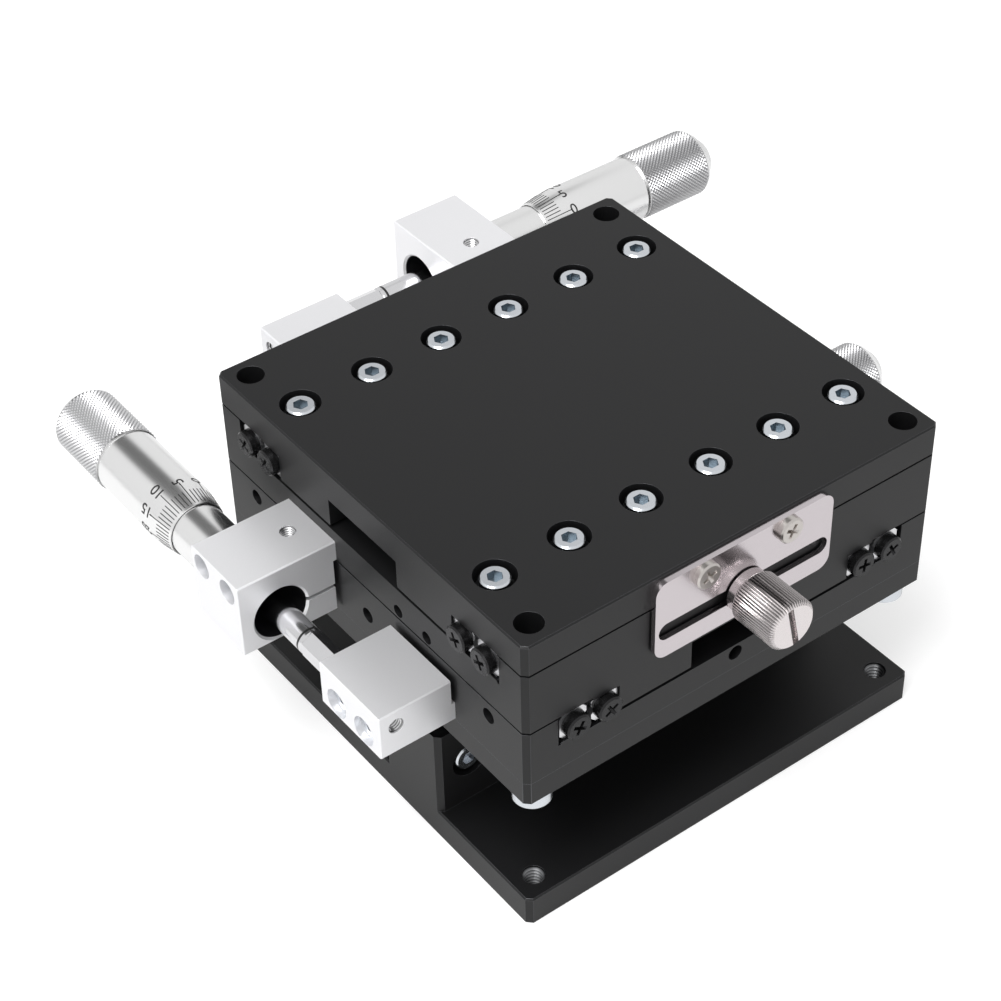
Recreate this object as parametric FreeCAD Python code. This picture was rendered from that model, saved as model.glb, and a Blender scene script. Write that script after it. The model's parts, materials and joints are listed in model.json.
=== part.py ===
import FreeCAD, Part
import math
import os

os.makedirs("parts", exist_ok=True)

# A three-axis translation stage: two crossed-roller stages at right angles on a lifting bracket,
# which a micrometer raises by a wedge. Sizes are in millimetres. The origin is the centre of the
# base's underside, +Z points up, the upper stage travels along X and the lower one along Y.

# Plates, from the bottom up
PLATE_WIDTH = 90.0
CORNER_CHAMFER = 1.0
EDGE_CHAMFER = 0.3
BASE_THICK = 6.0
LIFT_SPACE = 24.3
ARM_THICK = 4.8
Y_FLOOR = 5.4
MIDDLE_FLOOR = 6.5
TABLE_THICK = 6.2

# Section across a roller way: t is measured from the middle of the stage
CHANNEL_HALF = 10.0
RAIL_START = 25.5
LIFT_RAIL_START = 28.7
RAIL_WIDTH = 5.6
RAIL_HEIGHT = 5.6
RAIL_CHAMFER = 0.9
ROLLER_GAP = 1.0
PRELOAD_SPACE = 0.6
MOVING_SEAT = 0.5
FIXED_SEAT = 0.4
RIB_GAP = 0.7
WALL_GAP = 0.4
RAIL_RECESS = 0.5

# Crossed rollers and their cages
ROLLER_DIAMETER = 2.0
ROLLER_PLAY = 0.01
CAGE_HOLE_PLAY = 0.03
CAGE_THICK = 0.4
CAGE_HEIGHT = 1.6
CAGE_LENGTH = 62.0
LIFT_CAGE_LENGTH = 8.0
ROLLERS_PER_CAGE = 7
LIFT_ROLLERS_PER_CAGE = 3

# Travel of a micrometer each way, and the room left at its end
STAGE_TRAVEL = 12.5
TRAVEL_SPARE = 0.8

# Screws: radius of thread, head and counterbore, and height of head
M2_R = 1.0
M25_R = 1.25
M3_R = 1.5
M4_R = 2.0
PAN_HEAD_R = 2.5
PAN_HEAD = 1.3
STOP_HEAD = 2.0
PAN_CHAMFER = 0.3
CAP25_HEAD_R = 2.25
CAP25_HEAD = 2.5
CAP3_HEAD_R = 2.7
CAP3_HEAD = 3.0
CAP4_HEAD_R = 3.5
CAP4_HEAD = 4.0
SOCKET25_R = 1.15
SOCKET3_R = 1.45
SOCKET4_R = 1.73
SOCKET_DEPTH_SHARE = 0.5
SET3_SOCKET_R = 0.85
SET_SOCKET_SHARE = 0.33
COUNTERBORE_R = 3.75
COUNTERBORE_DEEP = 3.3
SNUG_COUNTERBORE_R = 2.9
HEAD_CHAMFER = 0.3
CLEARANCE_HOLE = 0.1
THREAD_DEEP = 4.0
THREAD_END_SPACE = 0.8
HOLE_DEEP = 8.0
# How near two places count as the same when edges are chosen
NEAR = 0.01

# Hole patterns
TABLE_SCREW_PITCH = 15.2
TABLE_SCREWS_PER_ROW = 6
MIDDLE_SCREWS_PER_ROW = 4
FIXED_SCREWS_PER_ROW = 3
CORNER_HOLE_SPACING = 81.0
TABLE_HOLE_R = 2.55
BASE_HOLE_R = 2.1
ARM_SCREW_INSET = 4.6
FIXED_SCREW_PITCH = 33.0
PRELOAD_PITCH = 70.0
PRELOAD_SUNK = 1.6
END_SCREW_DEEP = 4.5
FRONT_HOLE_UP = 3.5
SIDE_HOLE_UP = 5.2

# Micrometer head, measured along its spindle from the tip
SPINDLE_R = 2.5
SPINDLE_FIT = 0.05
SLEEVE_R = 5.3
SLEEVE_NOSE = 18.0
SLEEVE_END = 61.0
THIMBLE_EDGE = 37.6
THIMBLE_EDGE_R = 5.65
THIMBLE_FIT = 0.1
BEVEL_END = 43.0
BARREL_R = 6.5
KNURL_START = 62.3
KNURL_R = 6.9
KNURL_END = 77.5
END_CHAMFER_R = 5.8
THIMBLE_END = 78.7
CAP_R = 4.0
CAP_END = 80.8
SMALL_CHAMFER = 0.4

# Micrometer position on the side of a stage. The X stage's sits further back and higher.
TIP_BACK = 0.9
X_HEAD_BACK = 1.2
X_HEAD_UP = 1.3
AXIS_OUT = 11.9
AXIS_DOWN = 5.7
MOUNT_START = 9.8
MOUNT_WIDTH = 14.8
MOUNT_OUT = 20.2
MOUNT_UP = 4.2
MOUNT_DOWN = 11.4
BLOCK_CHAMFER = 0.25
BLOCK_RELIEF = 0.7
SLIT = 0.8
CLAMP_SCREW_OUT = 4.9
CLAMP_SCREW_LENGTH = 10.0
CLAMP_SCREW_SUNK = 3.5
MOUNT_SCREW_PITCH = 8.2
MOUNT_SCREW_UP = 1.5
MOUNT_COUNTERBORE = 5.2
SPARE_HOLE_CENTRE = 13.9
ANVIL_START = 7.1
ANVIL_WIDTH = 17.5
ANVIL_OUT = 15.3
ANVIL_TOP_DOWN = 2.4
ANVIL_DOWN = 11.8
ANVIL_LAND = 4.0
ANVIL_SCREW_PITCH = 8.0
ANVIL_SCREW_DOWN = 8.7
ANVIL_COUNTERBORE = 4.4
CONTACT_HEX_R = 2.6
CONTACT_SHANK_R = 1.5

# Lock plate and thumb screw
PLATE_HALF = 19.3
PLATE_THICK = 1.3
PLATE_RELIEF = 0.3
PLATE_UP = 5.5
PLATE_DOWN = 11.0
PLATE_CORNER = 2.5
SLOT_HALF_LENGTH = 18.5
SLOT_HALF_HEIGHT = 1.75
LOCK_DOWN = 5.4
PLATE_SCREW_HALF = 9.0
PLATE_SCREW_UP = 3.0
LOCK_OPEN = 0.3
WASHER_R = 4.2
WASHER_THICK = 1.5
THUMB_R = 4.9
THUMB_LENGTH = 10.2
THUMB_CHAMFER = 0.7
THUMB_SLOT = 1.2
THUMB_SLOT_DEEP = 1.2
THUMB_SLOT_TILT = 12.0
THUMB_REACH = 6.0
THUMB_FIT = 0.05

# Return springs in the channels
POST_R = 1.25
POST_LENGTH = 5.8
SPRING_ANCHOR = 38.0
SPRING_REACH = 14.0
SPRING_R = 2.0
SPRING_EYE_R = 2.7
SPRING_EYE_THICK = 1.0
SPRING_EYE_RIM = 0.4
SPRING_EYE_FIT = 0.05
LIFT_POST_LOW = 9.5
LIFT_POST_HIGH = 26.5

# Lifting bracket and the wall that guides it
WALL_FRONT = 19.3
WALL_BACK = 3.5
WALL_TOP = 24.9
WALL_SCREW_HEIGHT = 15.9
LEG_THICK = 8.4
LEG_INSET = 1.0
LEG_BOTTOM = 11.3
LIFT_RAIL_LENGTH = 17.6
FIXED_LIFT_RAIL_LOW = 7.1
LEG_SCREW_SPREAD = 9.0

# Lifting drive: a 45 degree wedge under a roller
DRIVE_Y = 17.5
DRIVE_HEIGHT = 17.7
WEDGE_BACK = 12.5
WEDGE_LENGTH = 24.0
WEDGE_WIDTH = 10.0
WEDGE_TOP = 24.2
FOOT_WIDTH = 14.0
FOOT_HEIGHT = 2.5
GUIDE_FIT = 0.08
GUIDE_HALF_LENGTH = 17.0
GUIDE_WIDTH = 4.6
GUIDE_HEIGHT = 5.0
GUIDE_SCREW_HALF = 12.0
FOLLOWER_R = 3.5
FOLLOWER_WIDTH = 9.0
FOLLOWER_X = -6.47
FOLLOWER_Z = 19.2
PIN_R = 1.5
PIN_FIT = 0.05
PIN_HEAD_R = 2.3
PIN_HEAD = 1.2
PIN_IN_LEG = 6.0
DRIVE_BLOCK_NEAR = 7.5
DRIVE_BLOCK_FAR = 10.5
DRIVE_BLOCK_TOP = 24.8
DRIVE_BLOCK_SCREW_OUT = 5.7
DRIVE_CLAMP_OUT = 7.9
DRIVE_CLAMP_SUNK = 0.6

# Levels that follow from the sizes
SECTION_DEEP = MOVING_SEAT + RAIL_HEIGHT + FIXED_SEAT
RIB_HEIGHT = SECTION_DEEP - RIB_GAP
ARM_BOTTOM = BASE_THICK + LIFT_SPACE
ARM_TOP = ARM_BOTTOM + ARM_THICK
Y_UNDER = ARM_TOP + Y_FLOOR + SECTION_DEEP
X_UNDER = Y_UNDER + MIDDLE_FLOOR + SECTION_DEEP
HALF = PLATE_WIDTH / 2
LEG_HALF = HALF - LEG_INSET
ARM_SCREW_SPACING = PLATE_WIDTH - 2 * ARM_SCREW_INSET
LEG_FACE = -WALL_BACK + WALL_GAP
X_AXIS = FreeCAD.Vector(1, 0, 0)
Y_AXIS = FreeCAD.Vector(0, 1, 0)
Z_AXIS = FreeCAD.Vector(0, 0, 1)
ORIGIN = FreeCAD.Vector(0, 0, 0)


def box(x0, x1, y0, y1, z0, z1):
    """A box between two corners."""
    return Part.makeBox(x1 - x0, y1 - y0, z1 - z0, FreeCAD.Vector(x0, y0, z0))


def rod(start, direction, radius, length):
    """A cylinder from a start point."""
    return Part.makeCylinder(radius, length, FreeCAD.Vector(*start), direction)


def turned_profile(points):
    """The solid of revolution about X of a closed outline given as (along, radius)."""
    outline = [FreeCAD.Vector(along, radius, 0) for along, radius in points]
    face = Part.Face(Part.makePolygon(outline + outline[:1]))
    return face.revolve(ORIGIN, X_AXIS, 360)


def group(solids):
    """Several separate solids as one node."""
    return Part.makeCompound(solids)


def mirrored(shape, normal):
    """A copy reflected in the plane through the origin across normal."""
    return shape.mirror(ORIGIN, normal)


def aimed(shape, at, direction):
    """A shape built along +Z, moved to a point and turned to a direction."""
    placed = shape.copy()
    placed.Placement = FreeCAD.Placement(FreeCAD.Vector(*at), FreeCAD.Rotation(Z_AXIS, direction))
    return placed


def chamfered(shape, size, wanted):
    """The shape with a chamfer on each edge whose middle passes the test."""
    edges = [edge for edge in shape.Edges if wanted(edge.CenterOfMass)]
    return shape.makeChamfer(size, edges)


def is_corner(middle):
    """True for the four upright corner edges of a plate."""
    return abs(abs(middle.x) - HALF) < NEAR and abs(abs(middle.y) - HALF) < NEAR


def plate(bottom, top):
    """A square plate with chamfered corners."""
    return chamfered(box(-HALF, HALF, -HALF, HALF, bottom, top), CORNER_CHAMFER, is_corner)


def trimmed(shape, bottom, top):
    """The part of a shape inside the chamfered outline of the plates."""
    return shape.common(plate(bottom, top))


def cut_all(shape, tools):
    """The shape less a list of tools."""
    return shape.cut(group(tools)) if tools else shape


def square_corners(spacing):
    """The four corners of a square pattern."""
    half = spacing / 2
    return [(sx * half, sy * half) for sx in (-1, 1) for sy in (-1, 1)]


def row(count, pitch):
    """Evenly spaced places about zero."""
    return [(index - (count - 1) / 2) * pitch for index in range(count)]


def pair(pitch):
    """Two places about zero."""
    return [-pitch / 2, pitch / 2]


def hexagon(radius, height):
    """A flat hexagon across the Z axis, its corners at a radius."""
    angles = [math.radians(60 * index) for index in range(6)]
    corners = [FreeCAD.Vector(radius * math.cos(a), radius * math.sin(a), height) for a in angles]
    return Part.Face(Part.makePolygon(corners + corners[:1]))


def cap_screw(head_r, head, shank_r, shank, socket_r):
    """A socket head cap screw that stands on its seat at the origin, its head up."""
    body = Part.makeCylinder(head_r, head)
    body = chamfered(body, HEAD_CHAMFER, lambda middle: abs(middle.z - head) < NEAR)
    body = body.fuse(rod((0, 0, -shank), Z_AXIS, shank_r, shank))
    return body.cut(hexagon(socket_r, head).extrude(-Z_AXIS * head * SOCKET_DEPTH_SHARE))


def m25_screw(shank):
    """An M2.5 cap screw."""
    return cap_screw(CAP25_HEAD_R, CAP25_HEAD, M25_R, shank, SOCKET25_R)


def m3_screw(shank):
    """An M3 cap screw."""
    return cap_screw(CAP3_HEAD_R, CAP3_HEAD, M3_R, shank, SOCKET3_R)


def m4_screw(shank):
    """An M4 cap screw."""
    return cap_screw(CAP4_HEAD_R, CAP4_HEAD, M4_R, shank, SOCKET4_R)


def set_screw(radius, length, socket_r):
    """A headless screw from the origin down, with a socket in its top."""
    body = rod((0, 0, -length), Z_AXIS, radius, length)
    return body.cut(hexagon(socket_r, 0).extrude(-Z_AXIS * length * SET_SOCKET_SHARE))


def pan_screw(head_height, shank):
    """A pan head screw that stands on its seat at the origin."""
    head = Part.makeCylinder(PAN_HEAD_R, head_height)
    head = chamfered(head, PAN_CHAMFER, lambda middle: abs(middle.z - head_height) < NEAR)
    return head.fuse(rod((0, 0, -shank), Z_AXIS, M2_R, shank))


def rail_outline(start, moving):
    """The section of a rail as (t, depth below the moving plate), its groove towards the rollers."""
    near, far = (start, start + RAIL_WIDTH)
    mid = start + RAIL_WIDTH + ROLLER_GAP / 2
    if not moving:
        near, far = (mid + ROLLER_GAP / 2 + RAIL_WIDTH, mid + ROLLER_GAP / 2)
    outward = 1 if moving else -1
    top, bottom = (MOVING_SEAT, MOVING_SEAT + RAIL_HEIGHT)
    apex = mid - outward * ROLLER_DIAMETER / math.sqrt(2)
    groove_half = abs(far - apex)
    centre = (top + bottom) / 2
    c = outward * RAIL_CHAMFER
    return [
        (near + c, top), (far - c, top), (far, top + RAIL_CHAMFER), (far, centre - groove_half),
        (apex, centre), (far, centre + groove_half), (far, bottom - RAIL_CHAMFER),
        (far - c, bottom), (near + c, bottom), (near, bottom - RAIL_CHAMFER), (near, top + RAIL_CHAMFER),
    ]


def flat_rail(start, moving, under):
    """A rail along X on the +Y side of a stage whose moving plate's underside is at a height."""
    half = HALF - RAIL_RECESS
    outline = [FreeCAD.Vector(-half, t, under - depth) for t, depth in rail_outline(start, moving)]
    face = Part.Face(Part.makePolygon(outline + outline[:1]))
    rail = face.extrude(FreeCAD.Vector(2 * half, 0, 0))
    t = rail_centre(start, moving)
    z = under - rail_depth()
    start_x = half - END_SCREW_DEEP
    holes = [rod((sx * start_x, t, z), sx * X_AXIS, M2_R, END_SCREW_DEEP) for sx in (-1, 1)]
    if moving:
        bottom = under - MOVING_SEAT - THREAD_DEEP
        places = row(TABLE_SCREWS_PER_ROW, TABLE_SCREW_PITCH)
    else:
        bottom = under - MOVING_SEAT - RAIL_HEIGHT
        places = row(FIXED_SCREWS_PER_ROW, FIXED_SCREW_PITCH)
    holes += [rod((x, t, bottom), Z_AXIS, M3_R, THREAD_DEEP) for x in places]
    return rail.cut(group(holes))


def rail_centre(start, moving):
    """How far the middle of a rail lies from the middle of its stage."""
    step = 0 if moving else RAIL_WIDTH + ROLLER_GAP
    return start + RAIL_WIDTH / 2 + step


def rail_depth():
    """How far the middle of the rails lies below the moving plate."""
    return MOVING_SEAT + RAIL_HEIGHT / 2


def both_sides(shape):
    """A piece and its mirror image across the stage's middle plane."""
    return group([shape, mirrored(shape, Y_AXIS)])


def flat_rails(start, moving, under):
    """The pair of moving or fixed rails of a flat stage."""
    return both_sides(flat_rail(start, moving, under))


def rail_end_screws(start, moving, under):
    """Screws in the ends of a pair of rails, which stop the cages."""
    t = rail_centre(start, moving)
    z = under - rail_depth()
    end = HALF - RAIL_RECESS
    screw = pan_screw(STOP_HEAD, THREAD_DEEP)
    places = [(sx, sy) for sx in (-1, 1) for sy in (-1, 1)]
    return group([aimed(screw, (sx * end, sy * t, z), sx * X_AXIS) for sx, sy in places])


def roller_middle(start):
    """How far the rollers' line lies from the middle of its stage."""
    return start + RAIL_WIDTH + ROLLER_GAP / 2


def roller_places(count, length):
    """Places of the rollers along a cage."""
    return row(count, length / count)


def flat_cage(count, length, start, under):
    """A cage strip along X with a round hole for each roller."""
    t = roller_middle(start)
    z = under - rail_depth()
    strip = box(-length / 2, length / 2, t - CAGE_THICK / 2, t + CAGE_THICK / 2,
                z - CAGE_HEIGHT, z + CAGE_HEIGHT)
    hole_r = ROLLER_DIAMETER / math.sqrt(2) + CAGE_HOLE_PLAY
    places = roller_places(count, length)
    holes = [rod((x, t - CAGE_THICK, z), Y_AXIS, hole_r, 2 * CAGE_THICK) for x in places]
    return strip.cut(group(holes))


def flat_rollers(count, length, start, under):
    """Rollers along X, each one's axis square to its neighbours'."""
    t = roller_middle(start)
    z = under - rail_depth()
    radius = ROLLER_DIAMETER / 2 - ROLLER_PLAY
    reach = ROLLER_DIAMETER / 2 - 2 * ROLLER_PLAY
    rollers = []
    for index, x in enumerate(roller_places(count, length)):
        lean = 1 if index % 2 else -1
        axis = FreeCAD.Vector(0, 1, lean).normalize()
        start_point = FreeCAD.Vector(x, t, z) - axis * reach
        rollers.append(Part.makeCylinder(radius, 2 * reach, start_point, axis))
    return rollers


def cage_pair(count, length, start, under):
    """Both cages of a flat stage."""
    return both_sides(flat_cage(count, length, start, under))


def roller_pair(count, length, start, under):
    """The rollers of both cages of a flat stage."""
    rollers = flat_rollers(count, length, start, under)
    return group(rollers + [mirrored(roller, Y_AXIS) for roller in rollers])


def ribs(start, under, length):
    """Two ribs under a moving plate, with the seats of its rails."""
    pieces = []
    for side in (-1, 1):
        low, high = sorted((side * CHANNEL_HALF, side * start))
        pieces.append(box(-length / 2, length / 2, low, high, under - RIB_HEIGHT, under))
        low, high = sorted((side * start, side * (start + RAIL_WIDTH)))
        pieces.append(box(-length / 2, length / 2, low, high, under - MOVING_SEAT, under))
    return pieces


def wall_inner(start):
    """How far the inner faces of the walls beside the fixed rails lie from the middle."""
    return start + 2 * RAIL_WIDTH + ROLLER_GAP + PRELOAD_SPACE


def side_walls(start, under, length):
    """The walls and rail seats that stand on a fixed plate."""
    floor = under - SECTION_DEEP
    seat = start + RAIL_WIDTH + ROLLER_GAP
    inner = wall_inner(start)
    pieces = []
    for side in (-1, 1):
        low, high = sorted((side * inner, side * HALF))
        pieces.append(box(-length / 2, length / 2, low, high, floor, under - WALL_GAP))
        low, high = sorted((side * seat, side * (seat + RAIL_WIDTH)))
        pieces.append(box(-length / 2, length / 2, low, high, floor, floor + FIXED_SEAT))
    return pieces


def moving_screws(under, thick, per_row):
    """Cap screws that hold a pair of moving rails from above."""
    seat = under + thick - COUNTERBORE_DEEP
    screw = m3_screw(seat - under + MOVING_SEAT + THREAD_DEEP - THREAD_END_SPACE)
    t = rail_centre(RAIL_START, True)
    places = [(x, sy * t) for x in row(per_row, TABLE_SCREW_PITCH) for sy in (-1, 1)]
    return group([aimed(screw, (x, y, seat), Z_AXIS) for x, y in places])


def moving_screw_holes(under, thick, per_row, counterbore_r):
    """Counterbored holes for the screws of the moving rails."""
    seat = under + thick - COUNTERBORE_DEEP
    t = rail_centre(RAIL_START, True)
    holes = []
    for x in row(per_row, TABLE_SCREW_PITCH):
        for side in (-1, 1):
            holes.append(rod((x, side * t, under - MOVING_SEAT), Z_AXIS, M3_R + CLEARANCE_HOLE, thick))
            holes.append(rod((x, side * t, seat), Z_AXIS, counterbore_r, COUNTERBORE_DEEP))
    return holes


def fixed_screws(under, floor_thick):
    """Cap screws that hold a pair of fixed rails from below."""
    seat = under - SECTION_DEEP - floor_thick + COUNTERBORE_DEEP
    screw = m3_screw(floor_thick - COUNTERBORE_DEEP + FIXED_SEAT + THREAD_DEEP - THREAD_END_SPACE)
    t = rail_centre(RAIL_START, False)
    places = [(x, sy * t) for x in row(FIXED_SCREWS_PER_ROW, FIXED_SCREW_PITCH) for sy in (-1, 1)]
    return group([aimed(screw, (x, y, seat), -Z_AXIS) for x, y in places])


def fixed_screw_holes(under, floor_thick):
    """Counterbored holes for the screws of the fixed rails."""
    bottom = under - SECTION_DEEP - floor_thick
    t = rail_centre(RAIL_START, False)
    through = floor_thick + FIXED_SEAT
    holes = []
    for x in row(FIXED_SCREWS_PER_ROW, FIXED_SCREW_PITCH):
        for side in (-1, 1):
            holes.append(rod((x, side * t, bottom), Z_AXIS, M3_R + CLEARANCE_HOLE, through))
            holes.append(rod((x, side * t, bottom), Z_AXIS, SNUG_COUNTERBORE_R, COUNTERBORE_DEEP))
    return holes


def preload_start():
    """Where the fixed rail's outer side lies."""
    return RAIL_START + 2 * RAIL_WIDTH + ROLLER_GAP


def preload_screws(under):
    """Set screws through the wall that press a fixed rail towards the rollers."""
    length = HALF - preload_start() - PRELOAD_SUNK
    screw = set_screw(M3_R, length, SET3_SOCKET_R)
    tip = preload_start() + length
    return group([aimed(screw, (x, tip, under - rail_depth()), Y_AXIS) for x in pair(PRELOAD_PITCH)])


def preload_holes(under):
    """Threaded holes in the +Y wall for the set screws."""
    z = under - rail_depth()
    return [rod((x, preload_start(), z), Y_AXIS, M3_R, HALF) for x in pair(PRELOAD_PITCH)]


def mount_screw_places():
    """Places along X of the screws of a mount block."""
    middle = MOUNT_START - TIP_BACK + MOUNT_WIDTH / 2
    return [middle + step for step in pair(MOUNT_SCREW_PITCH)]


def anvil_screw_places():
    """Places along X of the screws of an anvil block."""
    middle = -ANVIL_START - TIP_BACK - ANVIL_WIDTH / 2
    return [middle + step for step in pair(ANVIL_SCREW_PITCH)]


def mount_holes():
    """Holes in a moving plate, at height zero, for a mount block's screws on either hand."""
    places = mount_screw_places() + [step - SPARE_HOLE_CENTRE for step in pair(MOUNT_SCREW_PITCH)]
    return [rod((x, HALF - HOLE_DEEP, MOUNT_SCREW_UP), Y_AXIS, M25_R, HOLE_DEEP) for x in places]


def anvil_holes():
    """Holes in a fixed plate, at height zero, for an anvil block's screws."""
    level = -ANVIL_SCREW_DOWN
    return [rod((x, HALF - HOLE_DEEP, level), Y_AXIS, M3_R, HOLE_DEEP) for x in anvil_screw_places()]


def lock_plate_holes(under):
    """Holes in a moving plate for the lock plate's screws."""
    level = under + PLATE_SCREW_UP
    return [rod((sx * PLATE_SCREW_HALF, -HALF, level), Y_AXIS, M2_R, THREAD_DEEP) for sx in (-1, 1)]


def fixed_side_holes(under):
    """Holes in the sides of a fixed plate for the preload and lock screws."""
    lock_hole = rod((0, -HALF, under - LOCK_DOWN), Y_AXIS, M3_R, HALF - wall_inner(RAIL_START))
    return preload_holes(under) + [lock_hole]


def upper_post(under):
    """The spring's post on a moving plate."""
    return rod((SPRING_REACH, 0, under), -Z_AXIS, POST_R, POST_LENGTH)


def lower_post(under):
    """The spring's post on a fixed plate."""
    return rod((-SPRING_ANCHOR, 0, under - SECTION_DEEP), Z_AXIS, POST_R, POST_LENGTH)


def spring_between(start, end):
    """A return spring along X from one post to the other, an eye at each end."""
    body = rod((start + SPRING_EYE_R, 0, 0), X_AXIS, SPRING_R, end - start - 2 * SPRING_EYE_R)
    eyes = []
    for x in (start, end):
        at = (x, 0, -SPRING_EYE_THICK / 2)
        eye = rod(at, Z_AXIS, SPRING_EYE_R + SPRING_EYE_RIM, SPRING_EYE_THICK)
        eyes.append(eye.cut(rod(at, Z_AXIS, POST_R + SPRING_EYE_FIT, SPRING_EYE_THICK)))
    for x in (start, end):
        body = body.cut(rod((x, 0, -SPRING_R), Z_AXIS, SPRING_EYE_R, 2 * SPRING_R))
    return body.fuse(eyes)


def stage_spring(under):
    """The return spring in a flat stage's channel."""
    spring = spring_between(-SPRING_ANCHOR, SPRING_REACH)
    spring.translate(FreeCAD.Vector(0, 0, under - SECTION_DEEP / 2))
    return spring


def thimble():
    """Spindle, thimble and end cap of a micrometer, from the tip along X."""
    bore_r = SLEEVE_R + THIMBLE_FIT
    bore_end = SLEEVE_END + STAGE_TRAVEL + TRAVEL_SPARE
    return turned_profile([
        (0, 0), (0, SPINDLE_R - SMALL_CHAMFER), (SMALL_CHAMFER, SPINDLE_R), (bore_end, SPINDLE_R),
        (bore_end, bore_r), (THIMBLE_EDGE, bore_r), (THIMBLE_EDGE, THIMBLE_EDGE_R),
        (BEVEL_END, BARREL_R), (KNURL_START, BARREL_R), (KNURL_START, KNURL_R), (KNURL_END, KNURL_R),
        (THIMBLE_END, END_CHAMFER_R), (THIMBLE_END, CAP_R), (CAP_END - SMALL_CHAMFER, CAP_R),
        (CAP_END, CAP_R - SMALL_CHAMFER), (CAP_END, 0),
    ])


def sleeve():
    """The fixed barrel of a micrometer, which the thimble covers."""
    bore_r = SPINDLE_R + SPINDLE_FIT
    return turned_profile([
        (SLEEVE_NOSE, bore_r), (SLEEVE_NOSE, SLEEVE_R - SMALL_CHAMFER),
        (SLEEVE_NOSE + SMALL_CHAMFER, SLEEVE_R), (SLEEVE_END, SLEEVE_R), (SLEEVE_END, bore_r),
    ])


def contact_shank():
    """Length of the contact's shank, which ends before the first screw of the anvil block."""
    return (ANVIL_WIDTH - ANVIL_SCREW_PITCH) / 2 - CAP3_HEAD_R - 2 * CLEARANCE_HOLE


def contact_screw():
    """The hexagonal contact that the tip rests on, from the tip back along -X."""
    head = hexagon(CONTACT_HEX_R, 0).extrude(Z_AXIS * ANVIL_START)
    shank = rod((0, 0, ANVIL_START), Z_AXIS, CONTACT_SHANK_R, contact_shank())
    return aimed(head.fuse(shank), (0, 0, 0), -X_AXIS)


def at_stage_axis(shape):
    """A micrometer piece moved to its axis beside a stage whose moving plate is at height zero."""
    placed = shape.copy()
    placed.translate(FreeCAD.Vector(-TIP_BACK, HALF + AXIS_OUT, -AXIS_DOWN))
    return placed


def mount_block():
    """The split block that clamps a micrometer's sleeve to the moving plate."""
    x0 = MOUNT_START - TIP_BACK
    x1 = x0 + MOUNT_WIDTH
    outer = HALF + MOUNT_OUT
    bottom, top = (-MOUNT_DOWN, MOUNT_UP)
    block = box(x0, x1, HALF, outer, bottom, top)
    block = chamfered(block, BLOCK_CHAMFER, lambda middle: middle.y > HALF + BLOCK_CHAMFER)
    axis_y = HALF + AXIS_OUT
    axis_z = -AXIS_DOWN
    bore_mouth = FreeCAD.Vector(x0, axis_y, axis_z)
    clamp_hole = CLAMP_SCREW_LENGTH + CLAMP_SCREW_SUNK
    tools = [
        box(x0, x1, HALF, HALF + BLOCK_RELIEF, bottom, 0),
        rod((x0, axis_y, axis_z), X_AXIS, SLEEVE_R, MOUNT_WIDTH),
        Part.makeCone(SLEEVE_R + SMALL_CHAMFER, SLEEVE_R, SMALL_CHAMFER, bore_mouth, X_AXIS),
        box(x0, x1, HALF, axis_y, axis_z - SLIT / 2, axis_z + SLIT / 2),
        rod(((x0 + x1) / 2, HALF + CLAMP_SCREW_OUT, top), -Z_AXIS, M3_R, clamp_hole),
    ]
    counterbore_r = CAP25_HEAD_R + CLEARANCE_HOLE
    for x in mount_screw_places():
        tools.append(rod((x, HALF, MOUNT_SCREW_UP), Y_AXIS, M25_R + CLEARANCE_HOLE, MOUNT_OUT))
        tools.append(rod((x, outer, MOUNT_SCREW_UP), -Y_AXIS, counterbore_r, MOUNT_COUNTERBORE))
    for tool in tools:
        block = block.cut(tool)
    return block


def clamp_screw():
    """The screw that closes a mount block's slit."""
    x = MOUNT_START - TIP_BACK + MOUNT_WIDTH / 2
    screw = set_screw(M3_R, CLAMP_SCREW_LENGTH, SET3_SOCKET_R)
    return aimed(screw, (x, HALF + CLAMP_SCREW_OUT, MOUNT_UP - CLAMP_SCREW_SUNK), Z_AXIS)


def mount_screws():
    """The two long screws that hold a mount block."""
    seat = HALF + MOUNT_OUT - MOUNT_COUNTERBORE
    screw = m25_screw(seat - HALF + THREAD_DEEP)
    return group([aimed(screw, (x, seat, MOUNT_SCREW_UP), Y_AXIS) for x in mount_screw_places()])


def anvil_block():
    """The block on the fixed plate that carries the micrometer's contact."""
    x1 = -ANVIL_START - TIP_BACK
    x0 = x1 - ANVIL_WIDTH
    bottom, top = (-ANVIL_DOWN, -ANVIL_TOP_DOWN)
    block = box(x0, x1, HALF, HALF + ANVIL_OUT, bottom, top)
    block = chamfered(block, BLOCK_CHAMFER, lambda middle: middle.y > HALF + BLOCK_CHAMFER)
    level = -ANVIL_SCREW_DOWN
    tools = [
        box(x0, x1, HALF, HALF + BLOCK_RELIEF, bottom + ANVIL_LAND, top),
        rod((x0, HALF + AXIS_OUT, -AXIS_DOWN), X_AXIS, CONTACT_SHANK_R, ANVIL_WIDTH),
    ]
    counterbore_r = CAP3_HEAD_R + CLEARANCE_HOLE
    for x in anvil_screw_places():
        tools.append(rod((x, HALF, level), Y_AXIS, M3_R + CLEARANCE_HOLE, ANVIL_OUT))
        tools.append(rod((x, HALF + ANVIL_OUT, level), -Y_AXIS, counterbore_r, ANVIL_COUNTERBORE))
    for tool in tools:
        block = block.cut(tool)
    return block


def anvil_screws():
    """The two sunk screws that hold an anvil block."""
    seat = HALF + ANVIL_OUT - ANVIL_COUNTERBORE
    screw = m3_screw(seat - HALF + THREAD_DEEP)
    return group([aimed(screw, (x, seat, -ANVIL_SCREW_DOWN), Y_AXIS) for x in anvil_screw_places()])


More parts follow.
